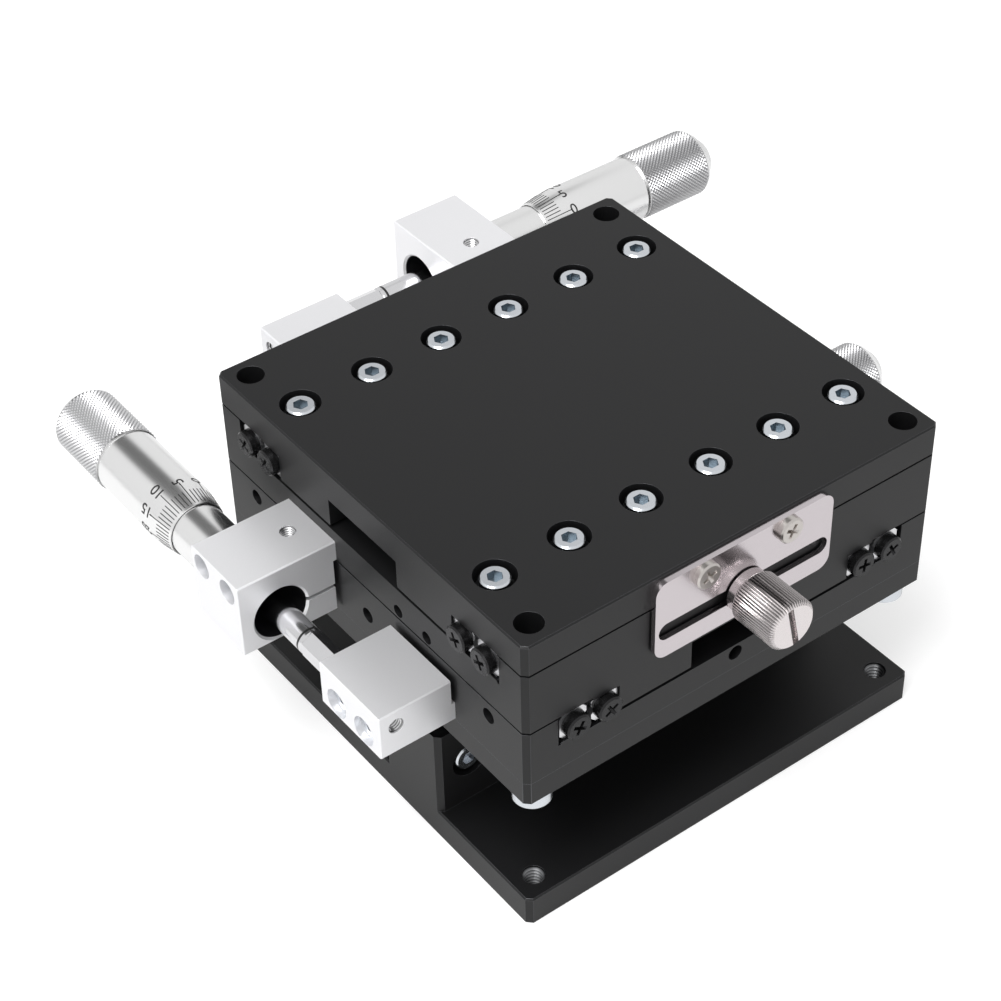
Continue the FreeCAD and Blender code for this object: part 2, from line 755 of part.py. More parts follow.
def lock_plate(under):
    """The slotted plate on the moving plate's -Y side."""
    bottom, top = (under - PLATE_DOWN, under + PLATE_UP)
    outer = -HALF - PLATE_THICK
    sheet = box(-PLATE_HALF, PLATE_HALF, outer, -HALF, bottom, top)
    corners = [edge for edge in sheet.Edges if edge.Length < 2 * PLATE_THICK]
    sheet = sheet.makeFillet(PLATE_CORNER, corners)
    level = under - LOCK_DOWN
    reach = SLOT_HALF_LENGTH - SLOT_HALF_HEIGHT
    slot = box(-reach, reach, outer, -HALF, level - SLOT_HALF_HEIGHT, level + SLOT_HALF_HEIGHT)
    ends = [rod((sx * reach, outer, level), Y_AXIS, SLOT_HALF_HEIGHT, PLATE_THICK) for sx in (-1, 1)]
    relief = box(-PLATE_HALF, PLATE_HALF, -HALF - PLATE_RELIEF, -HALF, bottom, under - WALL_GAP / 2)
    screw_up = under + PLATE_SCREW_UP
    hole_r = M2_R + CLEARANCE_HOLE
    holes = [rod((sx * PLATE_SCREW_HALF, outer, screw_up), Y_AXIS, hole_r, PLATE_THICK) for sx in (-1, 1)]
    for tool in [slot, relief] + ends + holes:
        sheet = sheet.cut(tool)
    return sheet


def lock_plate_screws(under):
    """The two pan head screws of the lock plate."""
    screw = pan_screw(PAN_HEAD, PLATE_THICK + THREAD_DEEP)
    at_y = -HALF - PLATE_THICK
    level = under + PLATE_SCREW_UP
    return group([aimed(screw, (sx * PLATE_SCREW_HALF, at_y, level), -Y_AXIS) for sx in (-1, 1)])


def washer_start():
    """Where the lock washer's inner face lies, released."""
    return -HALF - PLATE_THICK - LOCK_OPEN


def lock_washer(under):
    """The collar between the thumb screw and the lock plate."""
    at = (0, washer_start(), under - LOCK_DOWN)
    ring = rod(at, -Y_AXIS, WASHER_R, WASHER_THICK)
    return ring.cut(rod(at, -Y_AXIS, M3_R + THUMB_FIT, WASHER_THICK))


def lock_screw(under):
    """The thumb screw with a driver slot in its end."""
    head = Part.makeCylinder(THUMB_R, THUMB_LENGTH)
    head = chamfered(head, THUMB_CHAMFER, lambda middle: abs(middle.z - THUMB_LENGTH) < NEAR)
    slot_floor = THUMB_LENGTH - THUMB_SLOT_DEEP
    slot = box(-THUMB_SLOT / 2, THUMB_SLOT / 2, -THUMB_R, THUMB_R, slot_floor, THUMB_LENGTH)
    slot.rotate(ORIGIN, Z_AXIS, THUMB_SLOT_TILT)
    shank_length = WASHER_THICK + LOCK_OPEN + PLATE_THICK + THUMB_REACH
    screw = head.cut(slot).fuse(rod((0, 0, -shank_length), Z_AXIS, M3_R - THUMB_FIT, shank_length))
    return aimed(screw, (0, washer_start() - WASHER_THICK, under - LOCK_DOWN), -Y_AXIS)


def quarter_turned(shape):
    """A piece of the X stage turned to the same place on the Y stage."""
    turned = shape.copy()
    turned.rotate(ORIGIN, Z_AXIS, 90)
    return turned


def on_x_stage(shape):
    """A micrometer piece or hole, built at height zero, in its place on the X stage."""
    placed = shape.copy()
    placed.translate(FreeCAD.Vector(-X_HEAD_BACK, 0, X_UNDER + X_HEAD_UP))
    return placed


def on_y_stage(shape):
    """A micrometer piece or hole, built at height zero, in its place on the Y stage."""
    placed = shape.copy()
    placed.translate(FreeCAD.Vector(0, 0, Y_UNDER))
    return quarter_turned(placed)


def head_pieces(name, place):
    """The micrometer of one flat stage, with the blocks at both of its ends."""
    pieces = {
        "thimble": at_stage_axis(thimble()),
        "sleeve": at_stage_axis(sleeve()),
        "contact_screw": at_stage_axis(contact_screw()),
        "mount_block": mount_block(),
        "clamp_screw": clamp_screw(),
        "anvil_block": anvil_block(),
    }
    return {f"{name}_{key}": place(shape) for key, shape in pieces.items()}


def stage_pieces(name, under, turn):
    """The rails, rollers, lock and spring of one flat stage."""
    pieces = {
        "moving_rails": flat_rails(RAIL_START, True, under),
        "fixed_rails": flat_rails(RAIL_START, False, under),
        "cages": cage_pair(ROLLERS_PER_CAGE, CAGE_LENGTH, RAIL_START, under),
        "rollers": roller_pair(ROLLERS_PER_CAGE, CAGE_LENGTH, RAIL_START, under),
        "preload_screws": preload_screws(under),
        "lock_plate": lock_plate(under),
        "lock_plate_screws": lock_plate_screws(under),
        "lock_washer": lock_washer(under),
        "lock_screw": lock_screw(under),
        "spring": stage_spring(under),
    }
    return {f"{name}_{key}": turn(shape) for key, shape in pieces.items()}


def unturned(shape):
    """A piece that stays as it was built."""
    return shape


def screw_pieces():
    """The cap screws and the rail end screws, one node of each for every body."""
    x_ends = rail_end_screws(RAIL_START, False, X_UNDER)
    y_ends = quarter_turned(rail_end_screws(RAIL_START, True, Y_UNDER))
    y_rail_screws = quarter_turned(moving_screws(Y_UNDER, MIDDLE_FLOOR, MIDDLE_SCREWS_PER_ROW))
    y_floor_screws = quarter_turned(fixed_screws(Y_UNDER, Y_FLOOR))
    x_rail_screws = moving_screws(X_UNDER, TABLE_THICK, TABLE_SCREWS_PER_ROW)
    return {
        "table_screws": group(x_rail_screws.Solids + on_x_stage(mount_screws()).Solids),
        "table_stop_screws": rail_end_screws(RAIL_START, True, X_UNDER),
        "middle_screws": group(
            y_rail_screws.Solids + fixed_screws(X_UNDER, MIDDLE_FLOOR).Solids
            + on_x_stage(anvil_screws()).Solids + on_y_stage(mount_screws()).Solids),
        "middle_stop_screws": group(x_ends.Solids + y_ends.Solids),
        "lift_screws": group(
            y_floor_screws.Solids + on_y_stage(anvil_screws()).Solids + leg_screws().Solids),
        "lift_stop_screws": quarter_turned(rail_end_screws(RAIL_START, False, Y_UNDER)),
        "base_screws": group(wall_screws().Solids + drive_block_screws().Solids),
    }


def table():
    """The top plate, with the ribs of the X stage below it."""
    top = X_UNDER + TABLE_THICK
    body = plate(X_UNDER, top)
    body = chamfered(body, EDGE_CHAMFER, lambda middle: abs(middle.z - top) < NEAR)
    body = body.fuse(ribs(RAIL_START, X_UNDER, PLATE_WIDTH) + [upper_post(X_UNDER)])
    corners = square_corners(CORNER_HOLE_SPACING)
    holes = [rod((x, y, X_UNDER), Z_AXIS, TABLE_HOLE_R, TABLE_THICK) for x, y in corners]
    holes += moving_screw_holes(X_UNDER, TABLE_THICK, TABLE_SCREWS_PER_ROW, COUNTERBORE_R)
    holes += [on_x_stage(hole) for hole in mount_holes()] + lock_plate_holes(X_UNDER)
    return cut_all(body, holes)


def middle_carriage():
    """The plate that is the fixed half of the X stage and the moving half of the Y stage."""
    bottom, top = (Y_UNDER, X_UNDER - SECTION_DEEP)
    body = plate(bottom, top)
    walls = trimmed(group(side_walls(RAIL_START, X_UNDER, PLATE_WIDTH)), top, X_UNDER)
    across = ribs(RAIL_START, Y_UNDER, PLATE_WIDTH) + [upper_post(Y_UNDER)]
    lower = [quarter_turned(piece) for piece in across]
    body = body.fuse([walls, lower_post(X_UNDER)] + lower)
    across = moving_screw_holes(Y_UNDER, MIDDLE_FLOOR, MIDDLE_SCREWS_PER_ROW, SNUG_COUNTERBORE_R)
    across += lock_plate_holes(Y_UNDER)
    holes = fixed_side_holes(X_UNDER) + fixed_screw_holes(X_UNDER, MIDDLE_FLOOR)
    holes += [on_x_stage(hole) for hole in anvil_holes()]
    holes += [on_y_stage(hole) for hole in mount_holes()]
    return cut_all(body, holes + [quarter_turned(hole) for hole in across])


def y_stage_base():
    """The fixed half of the Y stage, which stands on the lifting arm."""
    top = Y_UNDER - SECTION_DEEP
    body = plate(ARM_TOP, top)
    walls = group([quarter_turned(piece) for piece in side_walls(RAIL_START, Y_UNDER, PLATE_WIDTH)])
    body = body.fuse([trimmed(walls, top, Y_UNDER), quarter_turned(lower_post(Y_UNDER))])
    across = fixed_side_holes(Y_UNDER) + fixed_screw_holes(Y_UNDER, Y_FLOOR)
    across.append(rod((0, HALF - HOLE_DEEP, ARM_TOP + SIDE_HOLE_UP), Y_AXIS, M3_R, HOLE_DEEP))
    holes = [quarter_turned(hole) for hole in across] + [on_y_stage(hole) for hole in anvil_holes()]
    holes.append(rod((0, -HALF, ARM_TOP + FRONT_HOLE_UP), Y_AXIS, M3_R, HOLE_DEEP))
    holes += [rod((x, y, ARM_TOP), Z_AXIS, M4_R, HOLE_DEEP) for x, y in square_corners(ARM_SCREW_SPACING)]
    return cut_all(body, holes)


def arm_screws():
    """The four screws that hang under the arm's corners and hold the Y stage."""
    screw = m4_screw(ARM_THICK + HOLE_DEEP - THREAD_END_SPACE)
    return group([aimed(screw, (x, y, ARM_BOTTOM), -Z_AXIS) for x, y in square_corners(ARM_SCREW_SPACING)])


def upright(shape, low):
    """A flat stage's piece of travel X turned so that it travels up and lies behind the leg's face.

    The piece is built with its moving plate at height zero, its first end at x zero.
    """
    turned = shape.copy()
    turned.rotate(ORIGIN, Y_AXIS, -90)
    turned.rotate(ORIGIN, Z_AXIS, -90)
    turned.translate(FreeCAD.Vector(0, LEG_FACE, low))
    return turned


def lift_rail(moving):
    """One upright rail, built along X from zero."""
    outline = [FreeCAD.Vector(0, t, -depth) for t, depth in rail_outline(LIFT_RAIL_START, moving)]
    face = Part.Face(Part.makePolygon(outline + outline[:1]))
    rail = face.extrude(FreeCAD.Vector(LIFT_RAIL_LENGTH, 0, 0))
    t = rail_centre(LIFT_RAIL_START, moving)
    if moving:
        holes = [rod((x + LIFT_RAIL_LENGTH / 2, t, -MOVING_SEAT), -Z_AXIS, M3_R, THREAD_DEEP)
                 for x in pair(LEG_SCREW_SPREAD)]
    else:
        at = (WALL_SCREW_HEIGHT - FIXED_LIFT_RAIL_LOW, t, -MOVING_SEAT - RAIL_HEIGHT)
        holes = [rod(at, Z_AXIS, M3_R, THREAD_DEEP)]
    return rail.cut(group(holes))


def lift_rails(moving):
    """The pair of upright rails on the leg or on the wall."""
    rail = lift_rail(moving)
    low = LEG_BOTTOM if moving else FIXED_LIFT_RAIL_LOW
    return group([upright(rail, low), upright(mirrored(rail, Y_AXIS), low)])


def lift_cage_low():
    """Height of the middle of the upright cages, halfway between the two pairs of rails."""
    return (LEG_BOTTOM + FIXED_LIFT_RAIL_LOW + LIFT_RAIL_LENGTH) / 2


def lift_cages():
    """The two upright cages."""
    pair = cage_pair(LIFT_ROLLERS_PER_CAGE, LIFT_CAGE_LENGTH, LIFT_RAIL_START, 0)
    return group([upright(cage, lift_cage_low()) for cage in pair.Solids])


def lift_rollers():
    """The rollers of the two upright cages."""
    pair = roller_pair(LIFT_ROLLERS_PER_CAGE, LIFT_CAGE_LENGTH, LIFT_RAIL_START, 0)
    return group([upright(roller, lift_cage_low()) for roller in pair.Solids])


def wall_floor():
    """Where the wall's rear face lies behind the rails."""
    return LEG_FACE - SECTION_DEEP


def base_bracket():
    """The base plate with the wall that guides the lift."""
    body = plate(0, BASE_THICK)
    body = chamfered(body, EDGE_CHAMFER, lambda middle: abs(middle.z - BASE_THICK) < NEAR)
    wall = box(-HALF, HALF, -WALL_FRONT, wall_floor(), 0, WALL_TOP)
    wall = chamfered(wall, CORNER_CHAMFER, lambda middle: abs(middle.y + WALL_FRONT) < NEAR
                     and abs(abs(middle.x) - HALF) < NEAR)
    pieces = [wall]
    seat = LIFT_RAIL_START + RAIL_WIDTH + ROLLER_GAP
    inner = wall_inner(LIFT_RAIL_START)
    for side in (-1, 1):
        low, high = sorted((side * inner, side * HALF))
        pieces.append(box(low, high, wall_floor(), -WALL_BACK, 0, WALL_TOP))
        low, high = sorted((side * seat, side * (seat + RAIL_WIDTH)))
        pieces.append(box(low, high, wall_floor(), wall_floor() + FIXED_SEAT, 0, WALL_TOP))
    pieces.append(rod((0, wall_floor(), LIFT_POST_LOW), Y_AXIS, POST_R, POST_LENGTH))
    body = body.fuse(pieces)
    corners = square_corners(CORNER_HOLE_SPACING)
    holes = [rod((x, y, 0), Z_AXIS, BASE_HOLE_R, BASE_THICK) for x, y in corners]
    t = rail_centre(LIFT_RAIL_START, False)
    for side in (-1, 1):
        at = (side * t, -WALL_FRONT, WALL_SCREW_HEIGHT)
        holes.append(rod(at, Y_AXIS, M3_R + CLEARANCE_HOLE, WALL_FRONT + wall_floor() + FIXED_SEAT))
        holes.append(rod(at, Y_AXIS, COUNTERBORE_R, COUNTERBORE_DEEP))
    holes += [rod((x, y, 0), Z_AXIS, M3_R, BASE_THICK) for x, y in guide_screw_places()]
    for x, y in drive_block_screw_places():
        holes.append(rod((x, y, 0), Z_AXIS, M3_R + CLEARANCE_HOLE, BASE_THICK))
        holes.append(rod((x, y, 0), Z_AXIS, SNUG_COUNTERBORE_R, COUNTERBORE_DEEP))
    return cut_all(body, holes)


def wall_screws():
    """The sunk screws that hold the upright fixed rails."""
    wall = WALL_FRONT + wall_floor() + FIXED_SEAT
    screw = m3_screw(wall - COUNTERBORE_DEEP + THREAD_DEEP - THREAD_END_SPACE)
    t = rail_centre(LIFT_RAIL_START, False)
    at_y = -WALL_FRONT + COUNTERBORE_DEEP
    return group([aimed(screw, (sx * t, at_y, WALL_SCREW_HEIGHT), -Y_AXIS) for sx in (-1, 1)])


def lift_bracket():
    """The arm under the Y stage and the leg that runs down behind the wall."""
    back = LEG_FACE + LEG_THICK
    arm = plate(ARM_BOTTOM, ARM_TOP)
    pieces = [box(-LEG_HALF, LEG_HALF, LEG_FACE, back, LEG_BOTTOM, ARM_BOTTOM)]
    for side in (-1, 1):
        low, high = sorted((side * CHANNEL_HALF, side * LIFT_RAIL_START))
        pieces.append(box(low, high, LEG_FACE - RIB_HEIGHT, LEG_FACE, LEG_BOTTOM, ARM_BOTTOM))
        low, high = sorted((side * LIFT_RAIL_START, side * (LIFT_RAIL_START + RAIL_WIDTH)))
        pieces.append(box(low, high, LEG_FACE - MOVING_SEAT, LEG_FACE, LEG_BOTTOM, ARM_BOTTOM))
    pieces.append(rod((0, LEG_FACE, LIFT_POST_HIGH), -Y_AXIS, POST_R, POST_LENGTH))
    body = arm.fuse(pieces)
    holes = [rod((x, y, ARM_BOTTOM), Z_AXIS, M4_R + CLEARANCE_HOLE, ARM_THICK)
             for x, y in square_corners(ARM_SCREW_SPACING)]
    for x, z in leg_screw_places():
        holes.append(rod((x, LEG_FACE - MOVING_SEAT, z), Y_AXIS, M3_R + CLEARANCE_HOLE, LEG_THICK))
        holes.append(rod((x, back - COUNTERBORE_DEEP, z), Y_AXIS, SNUG_COUNTERBORE_R, COUNTERBORE_DEEP))
    holes.append(rod((FOLLOWER_X, back - PIN_IN_LEG, FOLLOWER_Z), Y_AXIS, PIN_R, PIN_IN_LEG))
    return cut_all(body, holes)


def leg_screw_places():
    """Places (x, z) of the screws that hold the upright moving rails."""
    middle = LEG_BOTTOM + LIFT_RAIL_LENGTH / 2
    t = rail_centre(LIFT_RAIL_START, True)
    return [(sx * t, middle + z) for sx in (-1, 1) for z in pair(LEG_SCREW_SPREAD)]


def leg_screws():
    """The screws that hold the upright moving rails."""
    screw = m3_screw(LEG_THICK - COUNTERBORE_DEEP + MOVING_SEAT + THREAD_DEEP - THREAD_END_SPACE)
    seat = LEG_FACE + LEG_THICK - COUNTERBORE_DEEP
    return group([aimed(screw, (x, seat, z), Y_AXIS) for x, z in leg_screw_places()])


def lift_spring():
    """The spring between wall and leg that keeps the roller on the wedge."""
    spring = spring_between(LIFT_POST_LOW, LIFT_POST_HIGH)
    turned = spring.copy()
    turned.rotate(ORIGIN, X_AXIS, 90)
    turned.rotate(ORIGIN, Y_AXIS, -90)
    turned.translate(FreeCAD.Vector(0, LEG_FACE - SECTION_DEEP / 2, 0))
    return turned


def drive_wedge():
    """The sliding wedge, its slope at 45 degrees towards the roller."""
    front = WEDGE_BACK - WEDGE_LENGTH
    contact_height = FOLLOWER_Z - FOLLOWER_R * math.sqrt(2) - FOLLOWER_X
    outline = [
        (front, BASE_THICK), (WEDGE_BACK, BASE_THICK), (WEDGE_BACK, WEDGE_TOP),
        (WEDGE_TOP - contact_height, WEDGE_TOP), (front, front + contact_height),
    ]
    y0 = DRIVE_Y - WEDGE_WIDTH / 2
    points = [FreeCAD.Vector(x, y0, z) for x, z in outline]
    slope = Part.Face(Part.makePolygon(points + points[:1])).extrude(FreeCAD.Vector(0, WEDGE_WIDTH, 0))
    foot = box(front, WEDGE_BACK, DRIVE_Y - FOOT_WIDTH / 2, DRIVE_Y + FOOT_WIDTH / 2,
               BASE_THICK, BASE_THICK + FOOT_HEIGHT)
    return slope.fuse(foot)


def wedge_guides():
    """The two guides that hold the wedge's foot down."""
    inner = WEDGE_WIDTH / 2 + GUIDE_FIT
    outer = FOOT_WIDTH / 2 + GUIDE_FIT
    length = GUIDE_HALF_LENGTH
    top = BASE_THICK + GUIDE_HEIGHT
    guides = []
    for side in (-1, 1):
        low, high = sorted((DRIVE_Y + side * inner, DRIVE_Y + side * (outer + GUIDE_WIDTH)))
        guide = box(-length, length, low, high, BASE_THICK, top)
        low, high = sorted((DRIVE_Y + side * inner, DRIVE_Y + side * outer))
        guide = guide.cut(box(-length, length, low, high, BASE_THICK, BASE_THICK + FOOT_HEIGHT + GUIDE_FIT))
        guides.append(guide)
    body = group(guides)
    holes = []
    for x, y in guide_screw_places():
        holes.append(rod((x, y, BASE_THICK), Z_AXIS, M3_R + CLEARANCE_HOLE, GUIDE_HEIGHT))
    return cut_all(body, holes)


def guide_screw_places():
    """Places of the screws that hold the wedge guides."""
    out = FOOT_WIDTH / 2 + GUIDE_WIDTH / 2 + GUIDE_FIT
    return [(sx * GUIDE_SCREW_HALF, DRIVE_Y + sy * out) for sx in (-1, 1) for sy in (-1, 1)]


def guide_screws():
    """The screws on the wedge guides."""
    screw = pan_head_m3(GUIDE_HEIGHT + THREAD_DEEP)
    top = BASE_THICK + GUIDE_HEIGHT
    return group([aimed(screw, (x, y, top), Z_AXIS) for x, y in guide_screw_places()])


def pan_head_m3(shank):
    """A low head screw for the wedge guides."""
    head = Part.makeCylinder(GUIDE_WIDTH / 2, PAN_HEAD)
    return head.fuse(rod((0, 0, -shank), Z_AXIS, M3_R, shank))


def follower_pin():
    """The headed pin that carries the roller on the leg."""
    start = LEG_FACE + LEG_THICK - PIN_IN_LEG
    end = DRIVE_Y + FOLLOWER_WIDTH / 2 + WALL_GAP
    shank = rod((FOLLOWER_X, start, FOLLOWER_Z), Y_AXIS, PIN_R, end - start)
    return shank.fuse(rod((FOLLOWER_X, end, FOLLOWER_Z), Y_AXIS, PIN_HEAD_R, PIN_HEAD))


def follower_roller():
    """The roller that runs up the wedge."""
    at = (FOLLOWER_X, DRIVE_Y - FOLLOWER_WIDTH / 2, FOLLOWER_Z)
    tyre = rod(at, Y_AXIS, FOLLOWER_R, FOLLOWER_WIDTH)
    return tyre.cut(rod(at, Y_AXIS, PIN_R + PIN_FIT, FOLLOWER_WIDTH))


def at_drive_axis(shape):
    """A micrometer piece moved to the lifting drive."""
    placed = shape.copy()
    placed.translate(FreeCAD.Vector(WEDGE_BACK, DRIVE_Y, DRIVE_HEIGHT))
    return placed


def drive_block():
    """The split block that holds the lifting micrometer on the base."""
    x0 = WEDGE_BACK + MOUNT_START
    x1 = x0 + MOUNT_WIDTH
    y1 = DRIVE_Y + DRIVE_BLOCK_FAR
    block = box(x0, x1, DRIVE_Y - DRIVE_BLOCK_NEAR, y1, BASE_THICK, DRIVE_BLOCK_TOP)
    block = chamfered(block, BLOCK_CHAMFER, lambda middle: middle.z > BASE_THICK + BLOCK_CHAMFER)
    clamp_length = CLAMP_SCREW_LENGTH + DRIVE_CLAMP_SUNK
    tools = [
        rod((x0, DRIVE_Y, DRIVE_HEIGHT), X_AXIS, SLEEVE_R, MOUNT_WIDTH),
        box(x0, x1, DRIVE_Y, y1, DRIVE_HEIGHT - SLIT / 2, DRIVE_HEIGHT + SLIT / 2),
        rod(((x0 + x1) / 2, DRIVE_Y + DRIVE_CLAMP_OUT, DRIVE_BLOCK_TOP), -Z_AXIS, M3_R, clamp_length),
    ]
    for x, y in drive_block_screw_places():
        tools.append(rod((x, y, BASE_THICK), Z_AXIS, M3_R, THREAD_DEEP))
    for tool in tools:
        block = block.cut(tool)
    return block


def drive_clamp_screw():
    """The screw that closes the lifting block's slit."""
    x = WEDGE_BACK + MOUNT_START + MOUNT_WIDTH / 2
    screw = set_screw(M3_R, CLAMP_SCREW_LENGTH, SET3_SOCKET_R)
    return aimed(screw, (x, DRIVE_Y + DRIVE_CLAMP_OUT, DRIVE_BLOCK_TOP - DRIVE_CLAMP_SUNK), Z_AXIS)


def drive_block_screw_places():
    """Places (x, y) of the lifting block's screws."""
    middle = WEDGE_BACK + MOUNT_START + MOUNT_WIDTH / 2
    return [(middle, DRIVE_Y + side * DRIVE_BLOCK_SCREW_OUT) for side in (-1, 1)]


def drive_block_screws():
    """The screws under the base that hold the lifting block."""
    screw = m3_screw(BASE_THICK - COUNTERBORE_DEEP + THREAD_DEEP - THREAD_END_SPACE)
    return group([aimed(screw, (x, y, COUNTERBORE_DEEP), -Z_AXIS) for x, y in drive_block_screw_places()])


def lift_pieces():
    """The pieces of the lifting stage and its drive."""
    return {
        "base_bracket": base_bracket(),
        "lift_bracket": lift_bracket(),
        "lift_moving_rails": lift_rails(True),
        "lift_fixed_rails": lift_rails(False),
        "lift_cages": lift_cages(),
        "lift_rollers": lift_rollers(),
        "arm_screws": arm_screws(),
        "lift_spring": lift_spring(),
        "drive_wedge": drive_wedge(),
        "wedge_guides": wedge_guides(),
        "guide_screws": guide_screws(),
        "follower_pin": follower_pin(),
        "follower_roller": follower_roller(),
        "lift_thimble": at_drive_axis(thimble()),
        "lift_sleeve": at_drive_axis(sleeve()),
        "drive_block": drive_block(),
        "drive_clamp_screw": drive_clamp_screw(),
    }


def main():
    """Build every node and write it to its own file."""
    nodes = {
        "table": table(),
        "middle_carriage": middle_carriage(),
        "y_stage_base": y_stage_base(),
    }
    nodes.update(stage_pieces("x", X_UNDER, unturned))
    nodes.update(stage_pieces("y", Y_UNDER, quarter_turned))
    nodes.update(head_pieces("x", on_x_stage))
    nodes.update(head_pieces("y", on_y_stage))
    nodes.update(screw_pieces())
    nodes.update(lift_pieces())
    for name, shape in nodes.items():
        shape.exportStep(f"parts/{name}.step")
    print(len(nodes), "nodes")


main()
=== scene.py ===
"""Looks of a three-axis translation stage with crossed-roller ways and three micrometer heads."""

import json
import logging
import math
from dataclasses import dataclass
from enum import Enum
from typing import Iterable

import bmesh
import bpy
from bmesh.types import BMEdge, BMesh, BMFace, BMVert
from mathutils import Matrix, Vector

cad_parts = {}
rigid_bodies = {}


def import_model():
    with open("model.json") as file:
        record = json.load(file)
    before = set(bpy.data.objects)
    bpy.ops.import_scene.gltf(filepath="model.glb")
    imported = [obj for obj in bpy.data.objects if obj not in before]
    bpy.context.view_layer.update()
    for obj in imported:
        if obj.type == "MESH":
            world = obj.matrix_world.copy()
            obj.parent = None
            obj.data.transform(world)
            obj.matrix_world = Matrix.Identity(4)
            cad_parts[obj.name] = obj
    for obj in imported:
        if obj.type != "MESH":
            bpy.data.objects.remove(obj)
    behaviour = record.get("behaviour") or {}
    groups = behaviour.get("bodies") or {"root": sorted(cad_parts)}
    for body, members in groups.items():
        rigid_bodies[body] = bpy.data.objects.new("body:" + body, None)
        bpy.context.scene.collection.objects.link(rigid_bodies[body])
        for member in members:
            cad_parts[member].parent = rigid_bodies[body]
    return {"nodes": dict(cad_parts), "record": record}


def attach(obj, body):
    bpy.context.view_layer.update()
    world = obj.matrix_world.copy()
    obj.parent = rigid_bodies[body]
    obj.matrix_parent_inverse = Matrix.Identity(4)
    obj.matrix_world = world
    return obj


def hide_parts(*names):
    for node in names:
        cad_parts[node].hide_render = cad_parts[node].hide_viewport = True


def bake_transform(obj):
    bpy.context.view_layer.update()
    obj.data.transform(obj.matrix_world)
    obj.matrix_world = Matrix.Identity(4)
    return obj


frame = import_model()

Triple = tuple[float, float, float]

LOG = logging.getLogger("stage")
MM = 0.001
TO_METRES = Matrix.Scale(MM, 4)
FULL_TURN = 2 * math.pi
QUARTER_TURN = math.pi / 2
# The vertex attribute that is 1 in the valleys of a knurl or thread and 0 on its peaks; it places the
# valleys' painted shade
VALLEY = "valley"
# Points closer than this are one point, in metres and in millimetres
WELD_M = 1e-6
WELD_MM = 1e-5
# The same for the points of a spun outline, in millimetres
SPUN_WELD_MM = 1e-7
# Faces that meet at less than this angle are shaded smooth
SMOOTH_DEG = 35.0
# The sockets of a colour Mix node, whose names repeat
MIX_FACTOR, MIX_A, MIX_B, MIX_RESULT = 0, 6, 7, 2
# How many octaves of noise a finish's grain has
GRAIN_DETAIL = 3.0


class Way(Enum):
    """The travel that a micrometer or a lock serves."""

    X = "x"
    Y = "y"
    LIFT = "lift"


def linear(hex_colour: str) -> tuple[float, float, float, float]:
    """Turn an sRGB hex colour into linear values.

    Args:
        hex_colour: Six hexadecimal digits after a hash.

    Returns:
        Red, green, blue and an alpha of one.
    """
    parts = [int(hex_colour[i:i + 2], 16) / 255 for i in (1, 3, 5)]
    red, green, blue = (p / 12.92 if p <= 0.04045 else ((p + 0.055) / 1.055) ** 2.4 for p in parts)
    return red, green, blue, 1.0


def add_node(tree: bpy.types.NodeTree, kind: str, inputs: dict | None = None, **settings) -> bpy.types.Node:
    """Add a shader node with its settings, its values and its links.

    Args:
        tree: The node tree.
        kind: The node's Blender type.
        inputs: Input names or numbers with a value, or with the output socket that feeds them.
        settings: Attributes of the node.

    Returns:
        The node.
    """
    node = tree.nodes.new(kind)
    for name, value in settings.items():
        setattr(node, name, value)
    for name, value in (inputs or {}).items():
        if isinstance(value, bpy.types.NodeSocket):
            tree.links.new(value, node.inputs[name])
        else:
            node.inputs[name].default_value = value
    return node


def empty_tree(owner: bpy.types.Material | bpy.types.World) -> bpy.types.NodeTree:
    """Turn on a material's or a world's nodes and return their tree, emptied."""
    owner.use_nodes = True
    owner.node_tree.nodes.clear()
    return owner.node_tree


def linked_object(name: str, data: bpy.types.ID) -> bpy.types.Object:
    """Make an object of some data, link it to the scene and return it."""
    thing = bpy.data.objects.new(name, data)
    bpy.context.scene.collection.objects.link(thing)
    return thing


